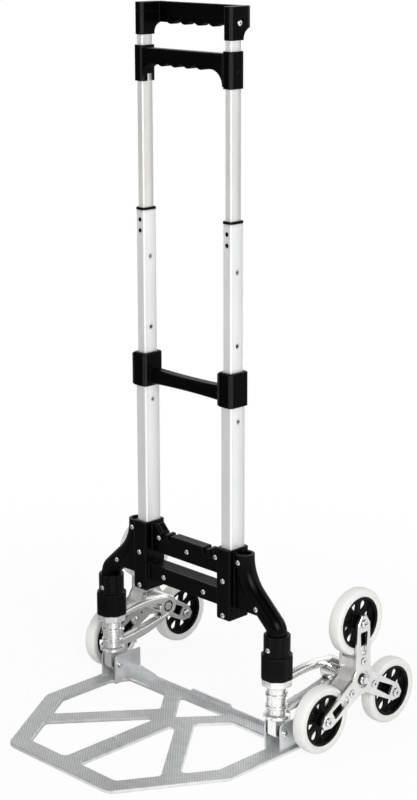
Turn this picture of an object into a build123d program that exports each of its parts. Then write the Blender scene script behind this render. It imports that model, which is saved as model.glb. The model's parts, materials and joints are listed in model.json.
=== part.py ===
from build123d import *
import os
from math import atan2, cos, radians, sin, tan

# Folding stair-climbing hand truck, in millimetres.
# X is to the right, Y to the rear, Z up, and the floor is at Z = 0.
# The pieces are modelled with the leg posts' axes at Y = 0, and moved at the end so that
# the origin lies under the middle of the truck's footprint.

# Stance
post_half_spacing = 168.0
tube_half_spacing = 84.0

# Fits
running_fit = 0.06
sliding_gap = 0.3
end_play = 0.5
overcut = 1.0

# Telescoping tubes: each stage fits in the one outside it
outer_tube_width = 20.0
outer_tube_depth = 27.5
tube_wall = 1.2
tube_gap = 0.8
tube_corner = 2.4
outer_tube_length = 336.0
middle_tube_length = 294.0
middle_tube_seat_depth = 88.0
inner_tube_length = 360.0
inner_tube_seat_depth = 90.0

# Guide feet and collars
foot_height = 8.0
foot_flange = 5.0
collar_lip = 3.5
collar_overhang = 0.5
collar_skirt = 32.0
lug_diameter = 6.0
lug_drops = (13.5, 28.5)

# Lock buttons
button_diameter = 5.0
button_rise = 25.0
button_stand = 0.4
button_travel = 3.0
button_length = 6.9
spare_hole_drop = 100.0

# Base frame
column_rise = 2.0
column_width = 26.0
column_front = 20.0
column_rear = 18.0
column_edge = 3.0
column_foot_round = 2.5
column_lip = 4.0
socket_floor = 8.0
pipe_diameter = 28.0
pipe_knee_rise = 8.0
pipe_knee_radius = 17.0
pipe_shoulder_rise = 56.0
pipe_shoulder_offset = 22.5
pipe_top_run = 36.0
pipe_end_run = 4.2
pipe_plug_depth = 24.0
pipe_mouth_depth = 6.0
pipe_mouth_diameter = 20.0
web_rise = 19.0
web_top_drop = 2.0
web_half_depth = 10.5
upper_bar_drop = 13.0
upper_bar_height = 30.0
upper_bar_front = 7.0
upper_bar_rear = 10.0
upper_bar_shoulder = 17.0
upper_bar_shoulder_rise = 10.0
lower_bar_rise = 17.0
lower_bar_height = 24.0
lower_bar_front = 14.0
lower_bar_rear = 12.0
ledge_groove_pitch = 4.0
ledge_groove_depth = 1.0
ledge_groove_width = 1.4
hook_positions = (36.0, 49.0)
hook_notch_width = 7.0
hook_notch_depth = 10.0

# Zinc screws with domed heads
screw_head_diameter = 8.0
screw_head_height = 2.0
screw_shank_diameter = 3.4
screw_grip = 10.0
column_screw_rise = (6.5, 56.5)
lower_bar_screw_offset = 40.0
upper_bar_screw_offset = 57.0
upper_bar_screw_drop = 8.0
lower_bar_screw_drop = 13.5
shoulder_screw_drop = 11.0
elbow_screw_share = 0.45
elbow_screw_drop = 2.5
screw_flat = 1.0
screw_floor = 1.0

# Crossbar on the outer tubes
sleeve_height = 47.0
sleeve_wall_side = 3.3
sleeve_wall_front = 3.7
sleeve_lip = 5.0
sleeve_edge = 3.0
crossbar_height = 23.0
crossbar_rise = 3.0
crossbar_depth = 17.0
crossbar_sag = 2.5

# Couplers between the frame's elbows and the leg posts
coupler_bottom = 107.5
coupler_step = 142.0
coupler_top = 170.0
coupler_lower_diameter = 46.5
coupler_upper_diameter = 37.0
coupler_flutes = 10
coupler_flute_diameter = 4.0
coupler_corner = 7.0
coupler_bevel = 2.0
coupler_edge = 1.0
coupler_notches = 16
coupler_notch_width = 3.0
coupler_notch_height = 5.0
coupler_notch_depth = 1.0
coupler_screw_height = 150.5
coupler_screw_flat = 0.8
coupler_screw_floor = 1.5

# Leg posts
post_diameter = 18.0
post_top_rise = 2.0
post_shoulder_diameter = 22.0
post_shoulder_height = 3.5
tongue_width = 15.0
tongue_depth = 19.0

# Toe plate
plate_side_margin = 21.0
plate_taper_inset = 86.0
plate_reach = 252.0
plate_taper_reach = 112.0
plate_rear = 42.0
plate_thickness = 4.5
plate_corner = 22.0
plate_edge = 1.0
plate_border = 28.0
middle_spoke_width = 32.0
diagonal_spoke_width = 26.0
diagonal_spoke_foot = (37.75, -51.0)
diagonal_spoke_angle = -51.0
leg_spoke_width = 24.0
leg_spoke_angle = 50.0
window_corner = 7.0
middle_window_border = 18.0
middle_window_strip = 110.0
middle_window_corner = 4.0
hinge_pad_side = 6.0
hinge_pad_reach = 12.0
hinge_pad_inset = 4.0
lip_thickness = 3.0
lip_height = 8.5
tab_half_width = 38.0
tab_height = 13.0
tab_slope = 4.0
gusset_height = 15.5
gusset_end_height = 11.0
gusset_length = 40.0

# Plate hinge
hinge_height = 28.6
hinge_pin_diameter = 8.0
pin_head_diameter = 10.5
pin_head_height = 3.5
cheek_half_spacing = 15.5
cheek_thickness = 2.5
cheek_front = 8.0
cheek_top = 44.0
cheek_round = 8.0
spacer_diameter = 14.0

# Wheel arms
arm_sleeve_diameter = 27.2
arm_flange_diameter = 36.4
arm_flange_height = 4.2
arm_flange_slope = 1.5
arm_ring_diameter = 30.5
arm_ring_rises = (16.0, 33.0)
arm_ring_width = 3.0
arm_ring_slope = 1.0
arm_collar_diameter = 44.0
arm_collar_height = 9.0
arm_collar_taper = 4.0
arm_floor_gap = 12.2
strut_width = 13.0
strut_round = 3.2
strut_tab_reach = 43.0
strut_tab_width = 10.0
strut_tab_root = 6.0
strut_tab_drop = 2.0
strut_tab_bevel = 3.0
hub_reach = 110.0
boss_diameter = 34.0
boss_inner_offset = 6.0
boss_bevel = 1.5

# Edges of the arms' struts: rises at the post and at mid-length from the sleeve's end,
# and at the hub from the boss's edge
upper_strut_top = (-7.7, 2.3, -0.4)
upper_strut_bottom = (-15.7, -9.0, -12.0)
lower_strut_top = (13.0, 18.5, 8.0)
lower_strut_bottom = (3.0, 3.4, 0.4)

# Three-wheel spiders
spider_offset = 45.0
spider_radius = 81.8
spider_plate_thickness = 4.0
spider_inner_half_width = 12.0
spider_hub_diameter = 44.0
spider_arm_root = 32.0
spider_arm_tip = 25.0
spider_tip_reach = 12.0
spider_tip_bevel = 8.0
spider_window_start = 36.0
spider_window_end = 70.0
spider_window_root = 11.0
spider_window_tip = 15.0
spider_window_corner = 2.0
spider_screw_radius = 27.0
spider_screw_head = 8.3
core_arm_width = 24.0
spider_edge = 0.8
core_clearance = 1.6
hub_axle_diameter = 10.0
hub_nut_size = 14.0
hub_nut_height = 6.0
hub_head_room = 2.0
hub_thread_end = 1.5
hub_recess_diameter = 25.0
hub_washer_diameter = 16.0
hub_washer_thickness = 1.5

# Wheels
wheel_diameter = 95.0
tyre_width = 20.0
tyre_shoulder = 5.0
rim_diameter = 72.0
rim_width = 18.0
rim_wall = 4.0
rim_web = 3.2
rim_hub_diameter = 20.0
rim_slots = 10
rim_slot_start = 18.5
rim_slot_end = 28.0
rim_slot_width = 7.0
rim_slot_root = 4.0
wheel_axle_diameter = 7.0
axle_head_diameter = 12.5
axle_head_height = 3.0

# Handles
socket_depth = 32.0
handle_cap = 11.0
socket_wall = 1.8
handle_setback = 32.0
handle_grip_depth = 11.0
handle_grip_height = 29.5
handle_corner = 6.0
handle_outer_corner = 15.0
handle_front_corner = 4.6
handle_under_radius = 14.0
handle_seam_drop = 13.0
handle_seam_width = 0.6
handle_seam_depth = 0.5
handle_screw_drop = 21.0
handle_screw_setback = 4.0
handle_screw_end = 2.0
handle_arm_step = 2.0
finger_pitch = 27.0
finger_rise = 2.0
finger_count = 5
cover_thickness = 3.0
cover_margin = 5.0
cover_corner = 3.0
release_gap = 14.0
release_travel = 12.0
release_height = 48.0
release_wall = 2.6
release_grip_height = 23.0
release_grip_depth = 16.0
release_top_drop = 3.0
release_flare = 21.5
release_edge = 2.0
release_lap = 1.0
release_notch_front = 3.0
release_notch_rear = 7.0
release_notch_height = 10.0
release_finger_pitch = 24.5
release_finger_count = 4

# Release pull rods
rod_diameter = 4.0
rod_pin_diameter = 4.0
rod_pin_rise = 22.0
blade_thickness = 2.0
blade_width = 1.6
blade_room = 0.15
blade_offset = 1.5
blade_margin = 1.5
yoke_height = 5.0
yoke_side = 3.5
yoke_thickness = 3.0

# Heights that follow from the sizes above
column_bottom = coupler_top + column_rise
pipe_knee_height = coupler_top + pipe_knee_rise
pipe_shoulder_height = pipe_knee_height + pipe_shoulder_rise
pipe_top = pipe_shoulder_height + pipe_top_run
column_top = pipe_top + column_lip
web_bottom = column_bottom + web_rise
upper_bar_top = column_top - upper_bar_drop
upper_bar_bottom = upper_bar_top - upper_bar_height
lower_bar_bottom = column_bottom + lower_bar_rise
lower_bar_top = lower_bar_bottom + lower_bar_height
outer_tube_bottom = column_bottom + socket_floor
outer_tube_top = outer_tube_bottom + outer_tube_length
sleeve_top = outer_tube_top + sleeve_lip
sleeve_bottom = sleeve_top - sleeve_height
middle_tube_bottom = outer_tube_top - middle_tube_seat_depth
middle_tube_top = middle_tube_bottom + middle_tube_length
inner_tube_bottom = middle_tube_top - inner_tube_seat_depth
inner_tube_top = inner_tube_bottom + inner_tube_length
handle_bottom = inner_tube_top - socket_depth
handle_top = inner_tube_top + handle_cap
handle_screw_height = handle_top - handle_screw_drop
handle_seam_height = handle_top - handle_seam_drop
release_top = handle_bottom - release_gap
release_bottom = release_top - release_height
lower_button_height = middle_tube_bottom + button_rise
upper_button_height = inner_tube_bottom + button_rise
arm_bottom = hinge_height + tongue_depth / 2 + arm_floor_gap
arm_top = coupler_bottom - sliding_gap

# Widths that follow
pipe_shoulder_x = tube_half_spacing + pipe_shoulder_offset
plate_half_width = post_half_spacing + plate_side_margin
plate_front_half_width = plate_half_width - plate_taper_inset
tube_step = 2 * (tube_wall + tube_gap)
middle_tube_width = outer_tube_width - tube_step
middle_tube_depth = outer_tube_depth - tube_step
inner_tube_width = middle_tube_width - tube_step
inner_tube_depth = middle_tube_depth - tube_step

# Wheel cluster places
wheel_radius = wheel_diameter / 2
hub_height = spider_radius / 2 + wheel_radius
spider_x = post_half_spacing + spider_offset
wheel_angles = (90.0, 210.0, 330.0)
footprint_rear = hub_reach + spider_radius * cos(radians(30.0)) + wheel_radius
footprint_shift = (plate_reach - footprint_rear) / 2

nodes = {}


def rod_x(diameter, start, end, y=0.0, z=0.0):
    """Round bar along X from one place to another."""
    return Pos((start + end) / 2, y, z) * Rot(0, 90, 0) * Cylinder(diameter / 2, abs(end - start))


def rod_y(diameter, start, end, x=0.0, z=0.0):
    """Round bar along Y from one place to another."""
    return Pos(x, (start + end) / 2, z) * Rot(90, 0, 0) * Cylinder(diameter / 2, abs(end - start))


def rod_z(diameter, bottom, top, x=0.0, y=0.0):
    """Round bar along Z from one height to another."""
    return Pos(x, y, (bottom + top) / 2) * Cylinder(diameter / 2, top - bottom)


def block(x_range, y_range, z_range):
    """Rectangular block between two places on each axis."""
    spans = (x_range, y_range, z_range)
    centre = [(low + high) / 2 for low, high in spans]
    sides = [high - low for low, high in spans]
    return Pos(*centre) * Box(*sides)


def along_x(sketch, start, end):
    """Sketch drawn in Y and Z, extruded between two places on X."""
    return Pos(start, 0, 0) * extrude(Plane.YZ * sketch, end - start, dir=(1, 0, 0))


def along_y(sketch, start, end):
    """Sketch drawn in X and Z, extruded between two places on Y."""
    return Pos(0, start, 0) * extrude(Plane.XZ * sketch, end - start, dir=(0, 1, 0))


def along_z(sketch, bottom, top):
    """Sketch drawn in X and Y, extruded between two heights."""
    return Pos(0, 0, bottom) * extrude(sketch, top - bottom, dir=(0, 0, 1))


def upright(width, depth, corner, bottom, top, x=0.0):
    """Upright bar of rounded rectangular section, centred on the tubes' plane."""
    return Pos(x, 0, 0) * along_z(RectangleRounded(width, depth, corner), bottom, top)


def both_sides(shape):
    """A right-hand shape together with its mirror image on the left."""
    return Part() + [shape, mirror(shape, about=Plane.YZ)]


def add_pair(name, right):
    """Store a right-hand piece and its left-hand mirror image as two nodes."""
    nodes[f"{name}_right"] = right
    nodes[f"{name}_left"] = mirror(right, about=Plane.YZ)


def dome_screw(x, y, z, grip=screw_grip):
    """Screw along Y whose domed head sits on a face that looks forwards at this Y."""
    head = rod_z(screw_head_diameter, 0, screw_head_height)
    head = fillet(head.edges().sort_by(Axis.Z)[-1], screw_head_height * 0.8)
    shank = rod_z(screw_shank_diameter, -grip, 0)
    return Pos(x, y, z) * Rot(90, 0, 0) * (head + shank)


def finger_wave(count, pitch, rise, height):
    """Wavy underside of a grip, drawn in X and Z from left to right."""
    half = pitch / 2
    start = -count * pitch / 2 + half / 2
    curve = Curve()
    for index in range(2 * count - 1):
        left = start + index * half
        swing = -rise if index % 2 == 0 else rise
        curve += ThreePointArc((left, height), (left + half / 2, height + swing), (left + half, height))
    return curve, start, start + (2 * count - 1) * half


def tube(width, depth, bottom, top):
    """Rectangular tube with rounded corners."""
    cavity = upright(
        width - 2 * tube_wall, depth - 2 * tube_wall, tube_corner - tube_wall, bottom - overcut, top + overcut
    )
    return upright(width, depth, tube_corner, bottom, top) - cavity


def button_hole(width, height):
    """Drill for a lock button through the right-hand face of a tube."""
    drill = button_diameter + 2 * sliding_gap
    return rod_x(drill, width / 2 - 2 * tube_wall, width / 2 + tube_wall, 0, height)


def guide_foot(width, depth, bottom):
    """Plug in a tube's lower end, with a flange that guides it in the next tube out."""
    room = tube_gap - sliding_gap
    plug_width = width - 2 * tube_wall
    plug_depth = depth - 2 * tube_wall
    plug = upright(plug_width, plug_depth, tube_corner - tube_wall, bottom, bottom + foot_height)
    flange = upright(width + 2 * room, depth + 2 * room, tube_corner, bottom - foot_flange, bottom)
    return plug + flange


def lock_button(width, height, slotted):
    """Domed pin in a tube's right-hand face. The slotted one is drawn in by its rod's blade."""
    tip = width / 2 + button_stand
    pin = rod_x(button_diameter, tip - button_length, tip, 0, height)
    pin = fillet(pin.edges().sort_by(Axis.X)[-1], button_diameter / 4)
    if slotted:
        half = blade_thickness / 2 + blade_room
        pin -= along_y(blade_profile(height, button_diameter, button_diameter, blade_room), -half, half)
    return pin


def blade_profile(height, below, above, room):
    """Slanted strip in X and Z that crosses a lock button, with room on each long side."""
    slope = button_travel / release_travel
    half = blade_width / 2 + room
    low = blade_offset - slope * below
    high = blade_offset + slope * above
    return Polygon(
        (low - half, height - below),
        (low + half, height - below),
        (high + half, height + above),
        (high - half, height + above),
        align=None,
    )


def build_tubes():
    """Three stages of rectangular tube on each side, their feet, collars and lock buttons."""
    outer = tube(outer_tube_width, outer_tube_depth, outer_tube_bottom, outer_tube_top)
    outer -= button_hole(outer_tube_width, lower_button_height)

    middle = tube(middle_tube_width, middle_tube_depth, middle_tube_bottom, middle_tube_top)
    for height in (lower_button_height, upper_button_height, upper_button_height - spare_hole_drop):
        middle -= button_hole(middle_tube_width, height)
    lug_heights = [middle_tube_top - drop for drop in lug_drops]
    front = -middle_tube_depth / 2
    for height in lug_heights:
        middle -= rod_y(lug_diameter, front - overcut, front + 2 * tube_wall, 0, height)

    inner = tube(inner_tube_width, inner_tube_depth, inner_tube_bottom, inner_tube_top)
    inner -= button_hole(inner_tube_width, upper_button_height)
    inner -= rod_x(
        screw_shank_diameter, -inner_tube_width, inner_tube_width, handle_screw_setback, handle_screw_height
    )
    pin_height = release_bottom + rod_pin_rise
    slot_width = rod_pin_diameter + 2 * sliding_gap
    slot_height = slot_width + release_travel
    slot = SlotOverall(slot_height, slot_width)
    slot_centre = pin_height + release_travel / 2
    inner -= Pos(0, 0, slot_centre) * extrude(Rot(0, 90, 0) * slot, inner_tube_width, both=True)

    collar = build_collar(lug_heights, front)

    for side, x in (("left", -tube_half_spacing), ("right", tube_half_spacing)):
        place = Pos(x, 0, 0)
        nodes[f"outer_tube_{side}"] = place * outer
        nodes[f"middle_tube_{side}"] = place * middle
        nodes[f"inner_tube_{side}"] = place * inner
        nodes[f"middle_collar_{side}"] = place * collar
        nodes[f"lower_lock_button_{side}"] = place * lock_button(
            middle_tube_width, lower_button_height, False
        )
        nodes[f"upper_lock_button_{side}"] = place * lock_button(
            inner_tube_width, upper_button_height, True
        )
    middle_foot = guide_foot(middle_tube_width, middle_tube_depth, middle_tube_bottom)
    inner_foot = guide_foot(inner_tube_width, inner_tube_depth, inner_tube_bottom)
    nodes["middle_guide_feet"] = both_sides(Pos(tube_half_spacing, 0, 0) * middle_foot)
    nodes["inner_guide_feet"] = both_sides(Pos(tube_half_spacing, 0, 0) * inner_foot)


def build_collar(lug_heights, tube_front):
    """Lip on a middle tube's end, whose skirt lines the tube and clips into it by two lugs."""
    lip_top = middle_tube_top + collar_lip
    lip = upright(
        middle_tube_width + 2 * collar_overhang,
        middle_tube_depth + 2 * collar_overhang,
        tube_corner + collar_overhang,
        middle_tube_top,
        lip_top,
    )
    lip = fillet(lip.edges().group_by(Axis.Z)[-1], collar_overhang)
    lining_width = middle_tube_width - 2 * tube_wall
    lining_depth = middle_tube_depth - 2 * tube_wall
    lining_corner = tube_corner - tube_wall
    skirt = upright(
        lining_width, lining_depth, lining_corner, middle_tube_top - collar_skirt, middle_tube_top
    )
    collar = lip + skirt
    for height in lug_heights:
        collar += rod_y(lug_diameter, tube_front, tube_front + 2 * tube_wall, 0, height)
    bore_width = inner_tube_width + 2 * sliding_gap
    bore_depth = inner_tube_depth + 2 * sliding_gap
    bore_bottom = middle_tube_top - 2 * collar_skirt
    return collar - upright(bore_width, bore_depth, tube_corner, bore_bottom, lip_top + overcut)


def pipe_path():
    """Middle line of an elbow, from inside the coupler up to the shoulder of the frame."""
    lean = atan2(post_half_spacing - pipe_shoulder_x, pipe_shoulder_rise)
    shoulder_radius = (pipe_top_run - pipe_end_run) / tan(lean / 2)
    return FilletPolyline(
        (post_half_spacing, 0, coupler_top - pipe_plug_depth),
        (post_half_spacing, 0, pipe_knee_height),
        (pipe_shoulder_x, 0, pipe_shoulder_height),
        (pipe_shoulder_x, 0, pipe_top),
        radius=[pipe_knee_radius, shoulder_radius],
    )


def elbow_point(share):
    """Place in X and Z on an elbow's slanted run, at a share of the way up from the knee."""
    x = post_half_spacing - share * (post_half_spacing - pipe_shoulder_x)
    return x, pipe_knee_height + share * pipe_shoulder_rise


def build_base_frame():
    """Moulded frame in a front and a rear shell, screwed together round the tubes."""
    path = pipe_path()
    pipe = sweep(Plane(path @ 0, z_dir=path % 0) * Circle(pipe_diameter / 2), path=path)
    web_x, _ = elbow_point((web_bottom - pipe_knee_height) / pipe_shoulder_rise)
    web_outline = Polygon(
        (tube_half_spacing, web_bottom),
        (web_x, web_bottom),
        (pipe_shoulder_x, pipe_shoulder_height),
        (pipe_shoulder_x, pipe_top - web_top_drop),
        (tube_half_spacing, pipe_top - web_top_drop),
        align=None,
    )
    web = along_y(web_outline, -web_half_depth, web_half_depth)
    column = block(
        (tube_half_spacing - column_width / 2, tube_half_spacing + column_width / 2),
        (-column_front, column_rear),
        (column_bottom, column_top),
    )
    column = fillet(column.edges().filter_by(Axis.Z), column_edge)
    column = fillet(column.edges().group_by(Axis.Z)[0], column_foot_round)
    mouth = rod_z(pipe_mouth_diameter, pipe_top - pipe_mouth_depth, column_top, pipe_shoulder_x)
    side = pipe + web + column - mouth
    upper_bar = build_upper_bar()
    lower_bar = build_lower_bar()
    frame = both_sides(side) + upper_bar + lower_bar
    socket = upright(
        outer_tube_width,
        outer_tube_depth,
        tube_corner,
        outer_tube_bottom,
        column_top + overcut,
        tube_half_spacing,
    )
    frame -= both_sides(socket)
    frame -= both_sides(rod_z(post_diameter, 0, coupler_top + post_top_rise, post_half_spacing))
    screws, drills = frame_fasteners()
    frame -= drills
    depth = column_front + column_rear
    span = (-post_half_spacing - pipe_diameter, post_half_spacing + pipe_diameter)
    heights = (0.0, 2 * column_top)
    nodes["frame_front_shell"] = frame & block(span, (-depth, 0.0), heights)
    nodes["frame_rear_shell"] = frame & block(span, (0.0, depth), heights)
    nodes["frame_screws"] = screws


def build_upper_bar():
    """Upper bar between the columns, with raised shoulders and hook notches in its top edge."""
    end = tube_half_spacing
    shoulder = tube_half_spacing - column_width / 2 - upper_bar_shoulder
    half = Polygon(
        (0, upper_bar_bottom),
        (end, upper_bar_bottom),
        (end, upper_bar_top + upper_bar_shoulder_rise),
        (shoulder + upper_bar_shoulder_rise, upper_bar_top + upper_bar_shoulder_rise),
        (shoulder, upper_bar_top),
        (0, upper_bar_top),
        align=None,
    )
    bar = both_sides(along_y(half, -upper_bar_front, upper_bar_rear))
    depth = upper_bar_front + upper_bar_rear
    for x in hook_positions:
        notch_centre = upper_bar_top - hook_notch_depth + hook_notch_width / 2
        notch = rod_y(hook_notch_width, -depth, depth, x, notch_centre)
        mouth = block(
            (x - hook_notch_width / 2, x + hook_notch_width / 2),
            (-depth, depth),
            (notch_centre, upper_bar_top + upper_bar_shoulder_rise),
        )
        bar -= both_sides(notch + mouth)
    return bar


def build_lower_bar():
    """Lower bar between the columns, with a grooved ledge on top."""
    bar = block(
        (-tube_half_spacing, tube_half_spacing),
        (-lower_bar_front, lower_bar_rear),
        (lower_bar_bottom, lower_bar_top),
    )
    half_length = tube_half_spacing - column_width / 2
    grooves = int((lower_bar_front + lower_bar_rear) / ledge_groove_pitch) - 1
    for index in range(1, grooves + 1):
        y = -lower_bar_front + index * ledge_groove_pitch
        bar -= block(
            (-half_length, half_length),
            (y, y + ledge_groove_width),
            (lower_bar_top - ledge_groove_depth, lower_bar_top + overcut),
        )
    return bar


def frame_fasteners():
    """Screws on the frame's front, and the holes and flats that they sit in."""
    pipe_face = -pipe_diameter / 2 + screw_flat
    elbow_x, elbow_z = elbow_point(elbow_screw_share)
    right = [(tube_half_spacing, -column_front, column_bottom + rise) for rise in column_screw_rise]
    right.append((pipe_shoulder_x, pipe_face, pipe_top - shoulder_screw_drop))
    right.append((elbow_x, pipe_face, elbow_z - elbow_screw_drop))
    right.append((lower_bar_screw_offset, -lower_bar_front, lower_bar_top - lower_bar_screw_drop))
    right.append((upper_bar_screw_offset, -upper_bar_front, upper_bar_top - upper_bar_screw_drop))
    places = right + [(-x, y, z) for x, y, z in right]
    places.append((0.0, -upper_bar_front, (upper_bar_bottom + upper_bar_top) / 2))
    screws = Part()
    drills = Part()
    for x, y, z in places:
        length = min(screw_grip, -y - screw_shank_diameter / 2)
        grip = column_front - outer_tube_depth / 2 - screw_floor if y == -column_front else length
        screws += dome_screw(x, y, z, grip)
        drills += rod_y(screw_shank_diameter, y, y + grip, x, z)
        drills += rod_y(screw_head_diameter + 2 * sliding_gap, y - column_front, y, x, z)
    return screws, drills


def build_crossbar():
    """Crossbar whose two sleeves cap the outer tubes and guide the middle ones."""
    width = outer_tube_width + 2 * sleeve_wall_side
    depth = outer_tube_depth + 2 * sleeve_wall_front
    sleeve = upright(width, depth, sleeve_edge + tube_corner, sleeve_bottom, sleeve_top, tube_half_spacing)
    sleeve = fillet(sleeve.edges().group_by(Axis.Z)[-1], sleeve_edge / 2)
    bottom = sleeve_bottom + crossbar_rise
    top = bottom + crossbar_height
    outline = Polyline((tube_half_spacing, top), (tube_half_spacing, bottom)) + ThreePointArc(
        (tube_half_spacing, bottom), (0, bottom + crossbar_sag), (-tube_half_spacing, bottom)
    )
    outline += Line((-tube_half_spacing, bottom), (-tube_half_spacing, top))
    outline += ThreePointArc((-tube_half_spacing, top), (0, top - crossbar_sag), (tube_half_spacing, top))
    bar = along_y(make_face(outline), -crossbar_depth / 2, crossbar_depth / 2)
    bar = fillet(bar.edges().filter_by(GeomType.CIRCLE), sleeve_edge)
    crossbar = both_sides(sleeve) + bar
    seat = upright(
        outer_tube_width,
        outer_tube_depth,
        tube_corner,
        sleeve_bottom - overcut,
        outer_tube_top,
        tube_half_spacing,
    )
    guide = upright(
        middle_tube_width + 2 * sliding_gap,
        middle_tube_depth + 2 * sliding_gap,
        tube_corner,
        sleeve_bottom,
        sleeve_top + overcut,
        tube_half_spacing,
    )
    nodes["mid_crossbar"] = crossbar - both_sides(seat + guide)


def build_legs():
    """Leg posts, and the couplers that clamp them to the frame's elbows."""
    x = post_half_spacing
    shoulder_top = arm_bottom - sliding_gap
    post = rod_z(post_diameter, shoulder_top - post_shoulder_height, coupler_top + post_top_rise, x)
    post += rod_z(post_shoulder_diameter, shoulder_top - post_shoulder_height, shoulder_top, x)
    half = tongue_width / 2
    tongue = block(
        (x - half, x + half),
        (-tongue_depth / 2, tongue_depth / 2),
        (hinge_height, shoulder_top - post_shoulder_height),
    )
    tongue += rod_x(tongue_depth, x - half, x + half, 0, hinge_height)
    bore_diameter = hinge_pin_diameter + 2 * running_fit
    pin_bore = rod_x(bore_diameter, x - tongue_width, x + tongue_width, 0, hinge_height)
    add_pair("leg_post", post + tongue - pin_bore)

    octagon = RegularPolygon(coupler_lower_diameter / 2, 8, rotation=22.5)
    octagon = fillet(octagon.vertices(), coupler_corner)
    lower = along_z(octagon, coupler_bottom, coupler_step)
    lower = chamfer(lower.edges().group_by(Axis.Z)[-1], coupler_bevel)
    facet = coupler_lower_diameter / 2 * cos(radians(22.5))
    notch = block(
        (facet - coupler_notch_depth, coupler_lower_diameter),
        (-coupler_notch_width / 2, coupler_notch_width / 2),
        (coupler_bottom - overcut, coupler_bottom + coupler_notch_height),
    )
    for index in range(coupler_notches):
        lower -= Rot(0, 0, 360.0 * index / coupler_notches) * notch
    lower = Pos(x, 0, 0) * lower
    upper = rod_z(coupler_upper_diameter, coupler_step, coupler_top, x)
    upper = chamfer(upper.edges().group_by(Axis.Z)[-1], coupler_edge)
    flute_radius = coupler_upper_diameter / 2 + coupler_flute_diameter / 4
    for turn in PolarLocations(flute_radius, coupler_flutes):
        upper -= Pos(x, 0, 0) * turn * rod_z(coupler_flute_diameter, coupler_step, coupler_top + overcut)
    coupler = lower + upper
    coupler -= rod_z(post_diameter, 0, coupler_top, x)
    coupler -= rod_z(pipe_diameter, coupler_top - pipe_plug_depth, coupler_top + overcut, x)
    face = -coupler_upper_diameter / 2 + coupler_screw_flat
    grip = (coupler_upper_diameter - pipe_diameter) / 2 - coupler_screw_floor
    coupler -= rod_y(screw_shank_diameter, face, face + grip, x, coupler_screw_height)
    seat_diameter = screw_head_diameter + 2 * sliding_gap
    coupler -= rod_y(seat_diameter, face - screw_head_height, face, x, coupler_screw_height)
    add_pair("leg_coupler", coupler)
    nodes["coupler_screws"] = both_sides(dome_screw(x, face, coupler_screw_height, grip))


def plate_outline():
    """Outline of the toe plate, seen from above."""
    half = (
        (0, plate_rear),
        (plate_half_width, plate_rear),
        (plate_half_width, -plate_taper_reach),
        (plate_front_half_width, -plate_reach),
        (0, -plate_reach),
    )
    right = Polygon(*half, align=None)
    return right + mirror(right, about=Plane.YZ)


def plate_windows():
    """Openings of the toe plate: what its border and spokes leave free, with rounded corners."""
    free = offset(plate_outline(), -plate_border)
    span = 2 * plate_reach
    foot_x, foot_y = diagonal_spoke_foot
    free -= Pos(0, foot_y - span / 2) * Rectangle(middle_spoke_width, span)
    diagonal = Pos(foot_x, foot_y) * Rot(0, 0, diagonal_spoke_angle) * (
        Pos(span / 2 - foot_x, 0) * Rectangle(span, diagonal_spoke_width)
    )
    leg = Pos(0, foot_y) * Rot(0, 0, leg_spoke_angle) * (
        Pos(span / 2, 0) * Rectangle(span, leg_spoke_width)
    )
    pad_inner = post_half_spacing - cheek_half_spacing - hinge_pad_side
    pad_front = -cheek_front - hinge_pad_reach
    pad = Polygon(
        (plate_half_width, pad_front),
        (post_half_spacing - hinge_pad_inset, pad_front),
        (pad_inner, plate_rear - plate_border),
        (pad_inner, plate_rear),
        (plate_half_width, plate_rear),
        align=None,
    )
    for spoke in (diagonal, leg, pad):
        free -= spoke
        free -= mirror(spoke, about=Plane.YZ)
    middle_rear = plate_rear - middle_window_border
    middle = Pos(0, (foot_y + middle_rear) / 2) * Rectangle(middle_window_strip, middle_rear - foot_y)
    middle = middle - leg - mirror(leg, about=Plane.YZ)
    wedge = middle.faces().sort_by_distance((0, middle_rear, 0))[0]
    rounded = [offset(offset(wedge, -middle_window_corner), middle_window_corner)]
    for window in free.faces():
        if abs(window.center().X) > overcut:
            rounded.append(offset(offset(window, -window_corner), window_corner))
    return rounded


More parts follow.
